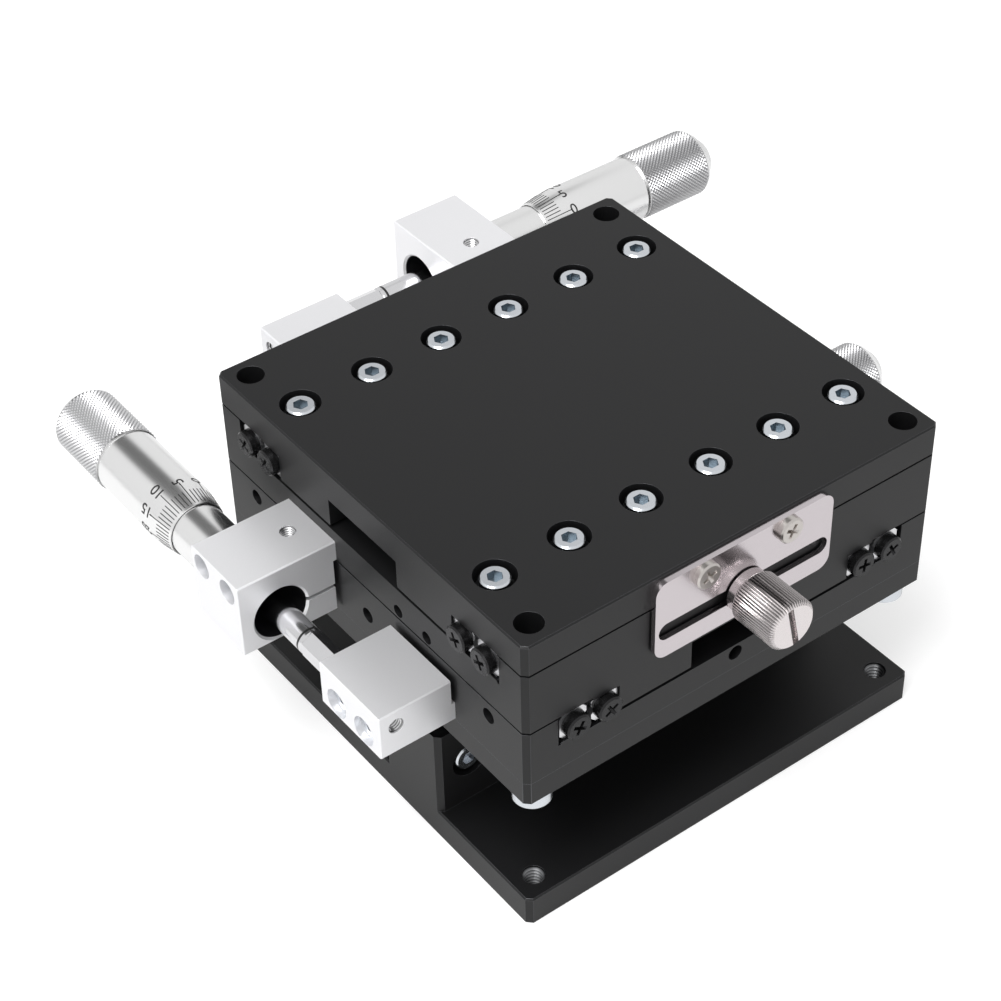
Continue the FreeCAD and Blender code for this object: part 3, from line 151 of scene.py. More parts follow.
@dataclass(frozen=True)
class Finish:
    """A surface finish: colour, gloss and a fine grain measured in millimetres.

    Real grains are a few hundredths of a millimetre and would not show, so they are drawn coarser.
    """

    name: str
    colour: str
    roughness: float
    metallic: float = 1.0
    grain_mm: float = 0.2
    grain_stretch: Triple = (1.0, 1.0, 1.0)
    colour_drift: float = 0.04
    roughness_drift: float = 0.06
    bump_mm: float = 0.0
    specular: float = 0.5
    # A darker colour painted into the valleys as shade, or nothing
    valley_colour: str = ""

    def material(self) -> bpy.types.Material:
        """Return the finish's material, built once."""
        known = bpy.data.materials.get(self.name)
        return known if known else self.build()

    def build(self) -> bpy.types.Material:
        """Build the material from a noise on Object coordinates.

        Returns:
            The new material.
        """
        material = bpy.data.materials.new(self.name)
        tree = empty_tree(material)
        place = add_node(tree, "ShaderNodeTexCoord")
        stretch = add_node(tree, "ShaderNodeMapping", {
            "Vector": place.outputs["Object"], "Scale": self.grain_stretch})
        grain = add_node(tree, "ShaderNodeTexNoise", {
            "Vector": stretch.outputs["Vector"], "Scale": 1 / (self.grain_mm * MM),
            "Detail": GRAIN_DETAIL})
        red, green, blue, alpha = linear(self.colour)
        dark, light = [(red * tone, green * tone, blue * tone, alpha)
                       for tone in (1 - self.colour_drift, 1 + self.colour_drift)]
        tones = add_node(tree, "ShaderNodeMix", {
            MIX_FACTOR: grain.outputs["Fac"], MIX_A: dark, MIX_B: light}, data_type="RGBA")
        colour = tones.outputs[MIX_RESULT]
        # Painted shade: the valleys are mixed towards the darker valley colour
        if self.valley_colour:
            sunk = add_node(tree, "ShaderNodeAttribute", attribute_name=VALLEY)
            shaded = add_node(tree, "ShaderNodeMix", {
                MIX_FACTOR: sunk.outputs["Fac"], MIX_A: colour, MIX_B: linear(self.valley_colour)},
                data_type="RGBA")
            colour = shaded.outputs[MIX_RESULT]
        shader = add_node(tree, "ShaderNodeBsdfPrincipled", {
            "Base Color": colour, "Metallic": self.metallic, "Roughness": self.roughness,
            "Specular IOR Level": self.specular})
        if self.roughness_drift:
            gloss = add_node(tree, "ShaderNodeMapRange", {
                "Value": grain.outputs["Fac"], "To Min": self.roughness - self.roughness_drift,
                "To Max": self.roughness + self.roughness_drift})
            tree.links.new(gloss.outputs["Result"], shader.inputs["Roughness"])
        if self.bump_mm:
            bump = add_node(tree, "ShaderNodeBump", {
                "Height": grain.outputs["Fac"], "Distance": self.bump_mm * MM, "Strength": 1.0})
            tree.links.new(bump.outputs["Normal"], shader.inputs["Normal"])
        add_node(tree, "ShaderNodeOutputMaterial", {"Surface": shader.outputs["BSDF"]})
        return material


# Black anodised aluminium, fine-ground first: near black, with a soft sheen that greys it.
BLACK_ANODISED = Finish("black_anodised_aluminium", "#111112", 0.42, metallic=0.0, grain_mm=0.25,
                        colour_drift=0.15, bump_mm=0.004, specular=0.3)
# The edges of black anodised plates, where the broken edge shows thinner dye and more shine; its lighter
# colour is partly a painted highlight.
EDGE_WEAR_AND_HIGHLIGHT = Finish("anodised_edge_wear_and_highlight", "#58595c", 0.36, metallic=0.8, grain_mm=0.3)
# Bead-blasted aluminium with clear anodising: pale, matt and slightly silvery.
CLEAR_ANODISED = Finish("bead_blasted_aluminium", "#ebebed", 0.45, metallic=0.75, grain_mm=0.15,
                        colour_drift=0.03, bump_mm=0.006)
# Satin chrome plate on turned steel: bright with long soft reflections.
SATIN_CHROME = Finish("satin_chrome", "#ececec", 0.24, grain_mm=0.4, colour_drift=0.02,
                      roughness_drift=0.02)
# The same chrome on the knurl, whose small facets each catch the light apart, with painted shade in its
# valleys.
KNURLED_CHROME = Finish("knurled_chrome", "#e6e6e7", 0.32, grain_mm=0.4, colour_drift=0.02,
                        roughness_drift=0.02, valley_colour="#a0a0a2")
# Ground and lapped hardened steel of spindles, rollers and contacts: sharp reflections.
GROUND_STEEL = Finish("ground_hardened_steel", "#dadadc", 0.13, grain_mm=0.2, grain_stretch=(1.0, 4.0, 4.0))
# The rails' ground ends: pale, with soft reflections.
RAIL_STEEL = Finish("ground_rail_steel", "#dedee0", 0.32, grain_mm=0.12, grain_stretch=(1.0, 1.0, 5.0),
                    colour_drift=0.06)
# Zinc plated cap screws: bright, faintly blue.
ZINC_PLATE = Finish("zinc_plated_steel", "#d3d7dc", 0.22, grain_mm=0.3)
# Black oxide on steel screws: near black with a small gloss.
BLACK_OXIDE = Finish("black_oxide_steel", "#2b2b2c", 0.27, metallic=0.8, grain_mm=0.15, colour_drift=0.2,
                     bump_mm=0.012)
# Warm nickel on the lock plate's small screws.
WARM_NICKEL = Finish("warm_nickel_screw", "#c4bfbb", 0.3, grain_mm=0.5, colour_drift=0.03)
# Cold-rolled stainless sheet, brushed lengthways, with a faintly warm tone.
BRUSHED_SHEET = Finish("brushed_stainless_sheet", "#c9c2c5", 0.2, grain_mm=0.12,
                       grain_stretch=(0.04, 1.0, 1.0), colour_drift=0.05, roughness_drift=0.05)
# Nickel plated washers and thumb screws: warmer than chrome, with painted shade in the knurl's valleys.
NICKEL_PLATE = Finish("nickel_plated_brass", "#cfc9c9", 0.25, grain_mm=0.3, roughness_drift=0.03)
NICKEL_KNURL = Finish("nickel_plated_knurl", "#dcd6d6", 0.27, grain_mm=0.3, roughness_drift=0.0,
                      valley_colour="#4e4a4a")
# Painted shade: the inside of a hexagon socket, where less light returns.
SOCKET_SHADE = Finish("zinc_socket_painted_shade", "#8f989f", 0.3, grain_mm=0.3)
# Rolled brass strip of the roller cages.
CAGE_BRASS = Finish("rolled_brass_strip", "#b89a5a", 0.34, grain_mm=0.3)
# Hard-drawn spring wire.
SPRING_WIRE = Finish("spring_wire", "#a9abae", 0.25, grain_mm=0.3)
# Cut threads in black anodised plate: bare crests between roots darkened by painted shade.
BLACK_THREAD = Finish("cut_thread_black", "#8b8c8e", 0.35, grain_mm=0.3, valley_colour="#0b0b0b")
# Cut threads in pale aluminium: bright crests between roots greyed by painted shade.
PALE_THREAD = Finish("cut_thread_pale", "#ededee", 0.3, grain_mm=0.3, valley_colour="#4c4c4e")
# Painted shade: a dark lining for a reamed bore, deep enough to stay dark.
BORE_SHADE = Finish("bore_painted_shade", "#47474a", 0.34, metallic=0.9, grain_mm=0.3)
# Paint filled into engraved marks.
MARK_PAINT = Finish("black_mark_paint", "#141414", 0.6, metallic=0.0, grain_mm=0.3)
# Painted shade: a black band in the groove at the spindle's tip, and on the face of the sleeve's nose.
GAP_SHADE = Finish("gap_painted_shade", "#161616", 0.3, metallic=0.0, grain_mm=0.3)

# The CAD nodes that stay in view as they are
CAD_FINISH = {
    ZINC_PLATE: ("middle_screws", "lift_screws", "base_screws", "arm_screws", "guide_screws",
                 "x_clamp_screw", "y_clamp_screw", "drive_clamp_screw"),
    BLACK_OXIDE: ("x_preload_screws", "y_preload_screws"),
    RAIL_STEEL: ("lift_fixed_rails", "lift_moving_rails"),
    GROUND_STEEL: ("lift_rollers", "x_rollers", "y_rollers", "x_contact_screw", "y_contact_screw",
                   "drive_wedge", "wedge_guides", "follower_pin", "follower_roller"),
    CAGE_BRASS: ("lift_cages", "x_cages", "y_cages"),
    NICKEL_PLATE: ("x_lock_washer", "y_lock_washer"),
}

BLACK_PLATES = ("table", "middle_carriage", "y_stage_base", "lift_bracket", "base_bracket")

# The CAD nodes shown by copies with broken edges
SOFTENED = {
    CLEAR_ANODISED: ("x_mount_block", "y_mount_block", "drive_block", "x_anvil_block", "y_anvil_block"),
    RAIL_STEEL: ("x_fixed_rails", "x_moving_rails", "y_fixed_rails", "y_moving_rails"),
    BRUSHED_SHEET: ("x_lock_plate", "y_lock_plate"),
}


def body_of_node(node: str) -> str:
    """Return the CAD body that a node belongs to."""
    bodies = frame["record"]["behaviour"]["bodies"]
    return next(body for body, nodes in bodies.items() if node in nodes)


def finished_object(node: str, mesh: BMesh, finish: Finish, detail: str = "",
                    smooth_deg: float = SMOOTH_DEG, rides: bool = True) -> bpy.types.Object:
    """Turn a bmesh into a shown piece that stands for a CAD node, or is a detail on it.

    Args:
        node: The CAD node, which gives the body that the piece rides on.
        mesh: The bmesh, in metres and in place; it is freed.
        finish: The surface finish.
        detail: The name of a detail, or nothing for a piece that stands for the node.
        smooth_deg: Faces that meet at less than this angle are shaded smooth.
        rides: False for a piece that rides on no body.

    Returns:
        The object.
    """
    name = detail or f"{node}.look"
    body = body_of_node(node) if rides else None
    data = bpy.data.meshes.new(name)
    mesh.normal_update()
    for face in mesh.faces:
        face.smooth = True
    for edge in mesh.edges:
        if len(edge.link_faces) == 2 and edge.calc_face_angle(0.0) > math.radians(smooth_deg):
            edge.smooth = False
    mesh.to_mesh(data)
    mesh.free()
    data.materials.append(finish.material())
    piece = linked_object(name, data)
    if body:
        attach(piece, body)
    if not detail:
        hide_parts(node)
    LOG.info("piece %s on %s: %d faces", name, body, len(data.polygons))
    return piece


def spun(profile: list[tuple[float, float]], steps: int, closed: bool = False) -> BMesh:
    """Spin an outline of (along X, radius) points about X.

    Args:
        profile: The outline's points in millimetres.
        steps: How many steps the full turn takes.
        closed: True where the outline returns to its first point.

    Returns:
        The solid's bmesh, with its normals outwards.
    """
    mesh = bmesh.new()
    points = [mesh.verts.new((along, 0.0, radius)) for along, radius in profile]
    pairs = list(zip(points, points[1:])) + ([(points[-1], points[0])] if closed else [])
    edges = [mesh.edges.new(pair) for pair in pairs]
    bmesh.ops.spin(mesh, geom=points + edges, cent=(0, 0, 0), axis=(1, 0, 0), angle=FULL_TURN,
                   steps=steps, use_merge=True)
    bmesh.ops.remove_doubles(mesh, verts=mesh.verts, dist=SPUN_WELD_MM)
    bmesh.ops.recalc_face_normals(mesh, faces=mesh.faces)
    return mesh


def joined(meshes: Iterable[BMesh]) -> BMesh:
    """Join several bmeshes into one and free them."""
    whole = bmesh.new()
    for part in meshes:
        data = bpy.data.meshes.new("joining")
        part.to_mesh(data)
        part.free()
        whole.from_mesh(data)
        bpy.data.meshes.remove(data)
    return whole


def moved(mesh: BMesh, matrix: Matrix) -> BMesh:
    """Move a bmesh by a matrix and return it."""
    bmesh.ops.transform(mesh, matrix=matrix, verts=mesh.verts)
    return mesh


def cut(mesh: BMesh, point: Vector, normal: Vector) -> None:
    """Cut every face of a bmesh along a plane."""
    bmesh.ops.bisect_plane(mesh, geom=mesh.verts[:] + mesh.edges[:] + mesh.faces[:], dist=WELD_MM,
                           plane_co=point, plane_no=normal)


def aim(at: Vector, direction: Vector) -> Matrix:
    """Return the matrix that takes +X to a direction and the origin to a point."""
    return Matrix.Translation(at) @ direction.to_track_quat("X", "Z").to_matrix().to_4x4()


@dataclass(frozen=True)
class Layout:
    """The places on the stage that its small pieces take, in millimetres."""

    half: float = 45.0
    x_under: float = 60.0
    y_under: float = 47.0
    tip_back: float = 0.9
    axis_out: float = 11.9
    axis_down: float = 5.7
    x_head_back: float = 1.2
    x_head_up: float = 1.3
    section_deep: float = 6.5
    plate_thick: float = 1.3
    lock_down: float = 5.4
    washer_stack: float = 1.8
    mount_middle: float = 16.3
    mount_up: float = 4.2
    clamp_out: float = 4.9
    anvil_far: float = 25.5
    base_thick: float = 6.0
    corner_hole: float = 40.5
    lift_tip: Triple = (12.5, 17.5, 17.7)
    lift_post: Triple = (0.0, -6.35, 9.5)
    spring_anchor: float = 38.0

    def stage(self, way: Way) -> Matrix:
        """Return the matrix from a flat stage's own frame, moving plate at height zero, to the whole."""
        under = self.x_under if way is Way.X else self.y_under
        turn = Matrix.Identity(4) if way is Way.X else Matrix.Rotation(QUARTER_TURN, 4, "Z")
        return turn @ Matrix.Translation((0.0, 0.0, under))

    def head_shift(self, way: Way) -> Matrix:
        """Return a head's own shift on its stage: the X head sits further back and higher."""
        back, up = (self.x_head_back, self.x_head_up) if way is Way.X else (0.0, 0.0)
        return self.stage(way) @ Matrix.Translation((-back, 0.0, up))

    def head(self, way: Way) -> Matrix:
        """Return the place of a micrometer's tip, its axis along +X."""
        if way is Way.LIFT:
            return Matrix.Translation(self.lift_tip)
        tip = (-self.tip_back, self.half + self.axis_out, -self.axis_down)
        return self.head_shift(way) @ Matrix.Translation(tip)

    def thumb(self, way: Way) -> Matrix:
        """Return the place of a thumb screw's shoulder, its head along +X."""
        out = -self.half - self.plate_thick - self.washer_stack
        forward = aim(Vector((0.0, out, -self.lock_down)), Vector((0.0, -1.0, 0.0)))
        return self.stage(way) @ forward

    def spring(self, way: Way) -> Matrix:
        """Return the place of a return spring's fixed post, its moving post along +X."""
        if way is Way.LIFT:
            upright = Matrix.Rotation(-QUARTER_TURN, 4, "Y") @ Matrix.Rotation(QUARTER_TURN, 4, "X")
            return Matrix.Translation(self.lift_post) @ upright
        return self.stage(way) @ Matrix.Translation((-self.spring_anchor, 0.0, -self.section_deep / 2))

    def clamp_hole(self, way: Way) -> Matrix:
        """Return the mouth of the clamp screw's hole in a mount block, its axis into the block."""
        mouth = Vector((self.mount_middle, self.half + self.clamp_out, self.mount_up))
        return self.head_shift(way) @ aim(mouth, Vector((0.0, 0.0, -1.0)))

    def anvil_hole(self, way: Way) -> Matrix:
        """Return the mouth of the hole in an anvil block's far end, its axis into the block."""
        mouth = Vector((-self.anvil_far, self.half + self.axis_out, -self.axis_down))
        return self.head_shift(way) @ Matrix.Translation(mouth)

    def base_holes(self) -> list[Matrix]:
        """Return the mouths of the base's corner holes, their axes down."""
        corners = [(x, y) for x in (-self.corner_hole, self.corner_hole)
                   for y in (-self.corner_hole, self.corner_hole)]
        return [aim(Vector((x, y, self.base_thick)), Vector((0.0, 0.0, -1.0))) for x, y in corners]


LAYOUT = Layout()


@dataclass
class SoftEdges:
    """CAD plates and blocks shown by copies whose edges are broken by a small bevel."""

    width_mm: float = 0.16
    segments: int = 2
    sharp_deg: float = 28.0
    flat_deg: float = 1.0

    def build(self, node: str, finish: Finish, edge: Finish | None = None) -> None:
        """Copy a node, merge it and bevel its sharp edges.

        Args:
            node: The CAD node.
            finish: The piece's finish.
            edge: The finish of the broken edges, where it differs; on the black plates it carries a painted
                highlight.
        """
        mesh = bmesh.new()
        mesh.from_mesh(frame["nodes"][node].data)
        bmesh.ops.remove_doubles(mesh, verts=mesh.verts, dist=WELD_M)
        bmesh.ops.dissolve_limit(mesh, angle_limit=math.radians(self.flat_deg), verts=mesh.verts,
                                 edges=mesh.edges)
        piece = finished_object(node, mesh, finish)
        bevel = piece.modifiers.new("broken_edges", "BEVEL")
        bevel.width = self.width_mm * MM
        bevel.segments = self.segments
        bevel.limit_method = "ANGLE"
        bevel.angle_limit = math.radians(self.sharp_deg)
        bevel.use_clamp_overlap = True
        if edge:
            piece.data.materials.append(edge.material())
            bevel.material = 1


@dataclass
class ThreadedHole:
    """The thread that shows inside a hole, along +X from the hole's mouth, in millimetres."""

    hole_r: float
    pitch: float
    depth: float
    start: float = 0.3
    height_share: float = 0.55
    clearance: float = 0.01
    backing: float = 0.03
    steps: int = 40

    def build(self) -> BMesh:
        """Build the thread as a row of ridges on the hole's wall.

        Returns:
            The thread's bmesh, in millimetres.
        """
        outer = self.hole_r - self.clearance
        crest = outer - self.height_share * self.pitch
        root = outer - self.backing
        count = round((self.depth - self.start) / self.pitch)
        profile = [(self.start, outer)]
        for turn in range(count):
            at = self.start + turn * self.pitch
            profile += [(at, root), (at + self.pitch / 2, crest)]
        end = self.start + count * self.pitch
        profile += [(end, root), (end, outer)]
        mesh = spun(profile, self.steps, closed=True)
        # The valley attribute places painted shade in the thread's roots
        valley = mesh.verts.layers.float.new(VALLEY)
        for vert in mesh.verts:
            vert[valley] = float(math.hypot(vert.co.y, vert.co.z) > (root + crest) / 2)
        return mesh

    def group(self, name: str, node: str, finish: Finish, places: Iterable[Matrix]) -> None:
        """Show one thread in each of several holes of a node.

        Args:
            name: The piece's name.
            node: The CAD node that has the holes.
            finish: The thread's finish.
            places: The holes' mouths.
        """
        mesh = joined([moved(self.build(), place) for place in places])
        moved(mesh, TO_METRES)
        finished_object(node, mesh, finish, name)


@dataclass
class MicrometerHead:
    """A micrometer head, its spindle along +X from the tip at the origin, in millimetres."""

    way: Way
    place: Matrix
    spindle_r: float = 2.5
    sleeve_r: float = 5.3
    sleeve_nose: float = 18.0
    sleeve_end: float = 61.0
    edge: float = 37.6
    edge_r: float = 5.65
    bore_r: float = 5.42
    bore_end: float = 74.3
    bevel_end: float = 43.0
    barrel_r: float = 6.5
    knurl_start: float = 62.3
    knurl_r: float = 6.9
    knurl_end: float = 77.5
    end: float = 78.7
    end_r: float = 5.8
    cap_r: float = 4.0
    cap_end: float = 80.8
    knurl_teeth: int = 52
    knurl_depth: float = 0.24
    knurl_wall: float = 0.3
    knurl_flat_deg: float = 4.0
    neck: float = 0.6
    neck_depth: float = 0.3
    neck_lip: float = 0.1
    chamfer: float = 0.4
    tip: float = 0.9
    ring: float = 0.5
    ring_depth: float = 0.2
    spindle_gap: float = 0.05
    nose_shade: float = 0.05
    mount_face: float = 9.8
    liner: float = 0.03
    turned_steps: int = 96
    divisions: int = 50
    phase_deg: float = -42.0
    long_line: float = 5.6
    short_line: float = 3.4
    line_gap: float = 0.5
    line_thick: float = 0.05
    mark_width: float = 0.17
    mark_strips: int = 8
    mark_lift: float = 0.01
    number_height: float = 2.1
    digit_share: float = 0.69
    digit_thick: float = 0.02
    scale_deg: float = 144.0
    scale_start: float = 25.5
    scale_length: float = 35.0
    ticks: int = 50
    tick_pitch: float = 0.5
    ticks_before_edge: float = 12.5
    long_tick: float = 2.4
    short_tick: float = 1.3
    tick_size: tuple[float, float] = (0.1, 0.04)

    def node(self, piece: str) -> str:
        """Return the full name of one of this head's pieces or CAD nodes."""
        return f"{self.way.value}_{piece}"

    def build(self) -> None:
        """Build the thimble, the sleeve and their marks."""
        self.build_thimble()
        self.build_knurl()
        self.build_sleeve()
        self.build_marks()
        if self.way is not Way.LIFT:
            self.build_bore()

    def show(self, piece: str, mesh: BMesh, finish: Finish, detail: str = "",
             smooth_deg: float = SMOOTH_DEG) -> None:
        """Put a mesh built about the spindle in its place, for one of the CAD pieces or on it."""
        moved(mesh, TO_METRES @ self.place)
        finished_object(self.node(piece), mesh, finish, detail and self.node(detail), smooth_deg)

    def build_thimble(self) -> None:
        """Build the smooth parts of the thimble, and the spindle with its black ring of painted shade."""
        neck_r = self.barrel_r - self.neck_depth
        low = self.knurl_r - self.knurl_depth
        neck_start = self.knurl_start - self.neck
        neck_end = self.knurl_start - self.neck_lip
        profile = [
            (self.bore_end, self.spindle_r), (self.bore_end, self.bore_r), (self.edge, self.bore_r),
            (self.edge, self.edge_r), (self.bevel_end, self.barrel_r), (neck_start, self.barrel_r),
            (neck_start, neck_r), (neck_end, neck_r), (neck_end, low),
            (self.knurl_end, low), (self.end, self.end_r), (self.end, self.cap_r),
            (self.cap_end - self.chamfer, self.cap_r), (self.cap_end, self.cap_r - self.chamfer),
            (self.cap_end, 0.0), (self.bore_end, 0.0),
        ]
        self.show("thimble", spun(profile, self.turned_steps, closed=True), SATIN_CHROME)
        start = self.tip
        stop = self.tip + self.ring
        groove_r = self.spindle_r - self.ring_depth
        spindle = [
            (0.0, 0.0), (0.0, self.spindle_r - self.chamfer), (self.chamfer, self.spindle_r),
            (start, self.spindle_r), (start, groove_r), (stop, groove_r), (stop, self.spindle_r),
            (self.bore_end, self.spindle_r),
        ]
        self.show("thimble", spun(spindle, self.turned_steps // 2), GROUND_STEEL, "spindle")
        band = [(start, groove_r), (start, self.spindle_r), (stop, self.spindle_r), (stop, groove_r)]
        ring = spun(band, self.turned_steps // 2, closed=True)
        self.show("thimble", ring, GAP_SHADE, "spindle_ring")

    def build_knurl(self) -> None:
        """Build the diamond knurl as a closed shell of small pyramids."""
        around = 2 * self.knurl_teeth
        low = self.knurl_r - self.knurl_depth
        pitch = FULL_TURN * self.knurl_r / around
        rows = round((self.knurl_end - self.knurl_start) / pitch)
        step = (self.knurl_end - self.knurl_start) / rows
        inner = low - self.knurl_wall
        profile = [(self.knurl_start, inner)]
        profile += [(self.knurl_start + step * i, low) for i in range(rows + 1)]
        profile += [(self.knurl_end, inner)]
        mesh = spun(profile, around, closed=True)
        # The valley attribute places painted shade in the knurl's valleys, between the raised points
        valley = mesh.verts.layers.float.new(VALLEY)
        for vert in mesh.verts:
            vert[valley] = 1.0
            radius = math.hypot(vert.co.y, vert.co.z)
            index = round((vert.co.x - self.knurl_start) / step)
            tooth = round(math.atan2(vert.co.y, vert.co.z) / FULL_TURN * around)
            outside = radius > low - self.knurl_wall / 2
            if outside and (index + tooth) % 2 == 0 and 0 < index < rows:
                vert.co.yz = vert.co.yz * (self.knurl_r / radius)
                vert[valley] = 0.0
        bmesh.ops.triangulate(mesh, faces=mesh.faces, quad_method="SHORT_EDGE")
        self.show("thimble", mesh, KNURLED_CHROME, "knurl", self.knurl_flat_deg)

    def build_bore(self) -> None:
        """Line the empty end of the mount block's bore with painted shade."""
        mouth = self.mount_face + self.chamfer
        nose = self.sleeve_nose
        inner = self.sleeve_r - self.liner
        profile = [(mouth, inner), (mouth, self.sleeve_r), (nose, self.sleeve_r), (nose, inner)]
        shell = spun(profile, self.turned_steps, closed=True)
        self.show("mount_block", shell, BORE_SHADE, "mount_bore")

    def build_sleeve(self) -> None:
        """Build the sleeve and the face of its nose, dark with painted shade."""
        bore = self.spindle_r + self.spindle_gap
        nose = self.sleeve_nose
        rim = self.sleeve_r - self.chamfer
        profile = [
            (nose, bore), (nose, rim), (nose + self.chamfer, self.sleeve_r),
            (self.sleeve_end, self.sleeve_r), (self.sleeve_end, bore),
        ]
        self.show("sleeve", spun(profile, self.turned_steps, closed=True), SATIN_CHROME)
        face = nose - self.nose_shade
        shade = [(face, bore), (face, rim), (nose, rim), (nose, bore)]
        self.show("sleeve", spun(shade, self.turned_steps, closed=True), GAP_SHADE, "sleeve_nose")

    def line(self, along: float, length: float, angle: float, radius: float,
             slope: float = 0.0) -> BMesh:
        """Build one paint line that lies on the surface along the axis.

        Args:
            along: Where it starts.
            length: Its length.
            angle: Its angle round the axis from the top.
            radius: The surface's radius at its start.
            slope: The surface's rise for each unit of length.

        Returns:
            A thin box that stands just above the surface.
        """
        mesh = bmesh.new()
        bmesh.ops.create_cube(mesh, size=1.0)
        bmesh.ops.scale(mesh, vec=(length, self.mark_width, self.line_thick), verts=mesh.verts)
        tilt = Matrix.Rotation(-math.atan(slope), 4, "Y")
        middle = Vector((along + length / 2, 0.0, radius + slope * length / 2))
        turn = Matrix.Rotation(-angle, 4, "X")
        return moved(mesh, turn @ Matrix.Translation(middle) @ tilt)

    def number(self, text: str, along: float, angle: float) -> BMesh:
        """Build a number bent round the barrel, read along the axis with its top round the barrel.

        Args:
            text: The digits.
            along: Where the text starts.
            angle: The angle round the axis at the middle of the digits.

        Returns:
            The digits' bmesh.
        """
        curve = bpy.data.curves.new(f"number_{text}", "FONT")
        curve.body = text
        curve.size = self.number_height / self.digit_share
        curve.extrude = self.digit_thick
        curve.offset = self.digit_thick
        holder = bpy.data.objects.new(f"number_{text}", curve)
        data = bpy.data.meshes.new_from_object(holder)
        mesh = bmesh.new()
        mesh.from_mesh(data)
        for old in (holder, curve, data):
            bpy.data.batch_remove([old])
        bmesh.ops.remove_doubles(mesh, verts=mesh.verts, dist=WELD_MM)
        bmesh.ops.translate(mesh, vec=(along, -self.number_height / 2, 0.0), verts=mesh.verts)
        return self.bent(mesh, angle, self.barrel_r, self.number_height)

    def bent(self, mesh: BMesh, angle: float, radius: float,
             height: float) -> BMesh:
        """Bend a flat mark, X along the axis and Y round it, on to the surface.

        Args:
            mesh: The flat mark, centred on Y.
            angle: The angle round the axis of the mark's middle.
            radius: The surface's radius.
            height: The mark's size along Y.

        Returns:
            The same bmesh, cut into strips and bent.
        """
        for strip in range(1, self.mark_strips):
            level = height * (strip / self.mark_strips - 0.5)
            cut(mesh, Vector((0.0, level, 0.0)), Vector((0.0, 1.0, 0.0)))
        for vert in mesh.verts:
            bend = angle + vert.co.y / radius
            out = radius + self.mark_lift + vert.co.z
            vert.co = (vert.co.x, out * math.sin(bend), out * math.cos(bend))
        return mesh

    def build_marks(self) -> None:
        """Show the marks of the thimble and of the sleeve."""
        self.show("thimble", joined(self.thimble_marks()), MARK_PAINT, "thimble_marks")
        self.show("sleeve", joined(self.sleeve_marks()), MARK_PAINT, "sleeve_marks")

    def thimble_marks(self) -> list[BMesh]:
        """Return the lines on the thimble's bevel, with a number at every fifth."""
        slope = (self.barrel_r - self.edge_r) / (self.bevel_end - self.edge)
        start = self.edge + self.line_gap
        start_r = self.edge_r + self.line_gap * slope
        marks = []
        for index in range(self.divisions):
            angle = FULL_TURN * index / self.divisions + math.radians(self.phase_deg)
            length = self.long_line if index % 5 == 0 else self.short_line
            marks.append(self.line(start, length, angle, start_r, slope))
            if index % 5 == 0:
                marks.append(self.number(str(index), self.bevel_end + self.line_gap, angle))
        return marks

    def sleeve_marks(self) -> list[BMesh]:
        """Return the sleeve's long line, with half millimetre ticks on both sides by turns."""
        middle = math.radians(self.scale_deg)
        width, thick = self.tick_size
        marks = [self.line(self.scale_start, self.scale_length, middle, self.sleeve_r)]
        for index in range(self.ticks):
            along = self.edge - self.ticks_before_edge + index * self.tick_pitch
            reach = self.long_tick if index % 10 == 0 else self.short_tick
            side = 1 if index % 2 == 0 else -1
            tick = bmesh.new()
            bmesh.ops.create_cube(tick, size=1.0)
            bmesh.ops.scale(tick, vec=(width, reach, thick), verts=tick.verts)
            bmesh.ops.translate(tick, vec=(along, 0.0, 0.0), verts=tick.verts)
            marks.append(self.bent(tick, middle + side * reach / 2 / self.sleeve_r, self.sleeve_r, reach))
        return marks


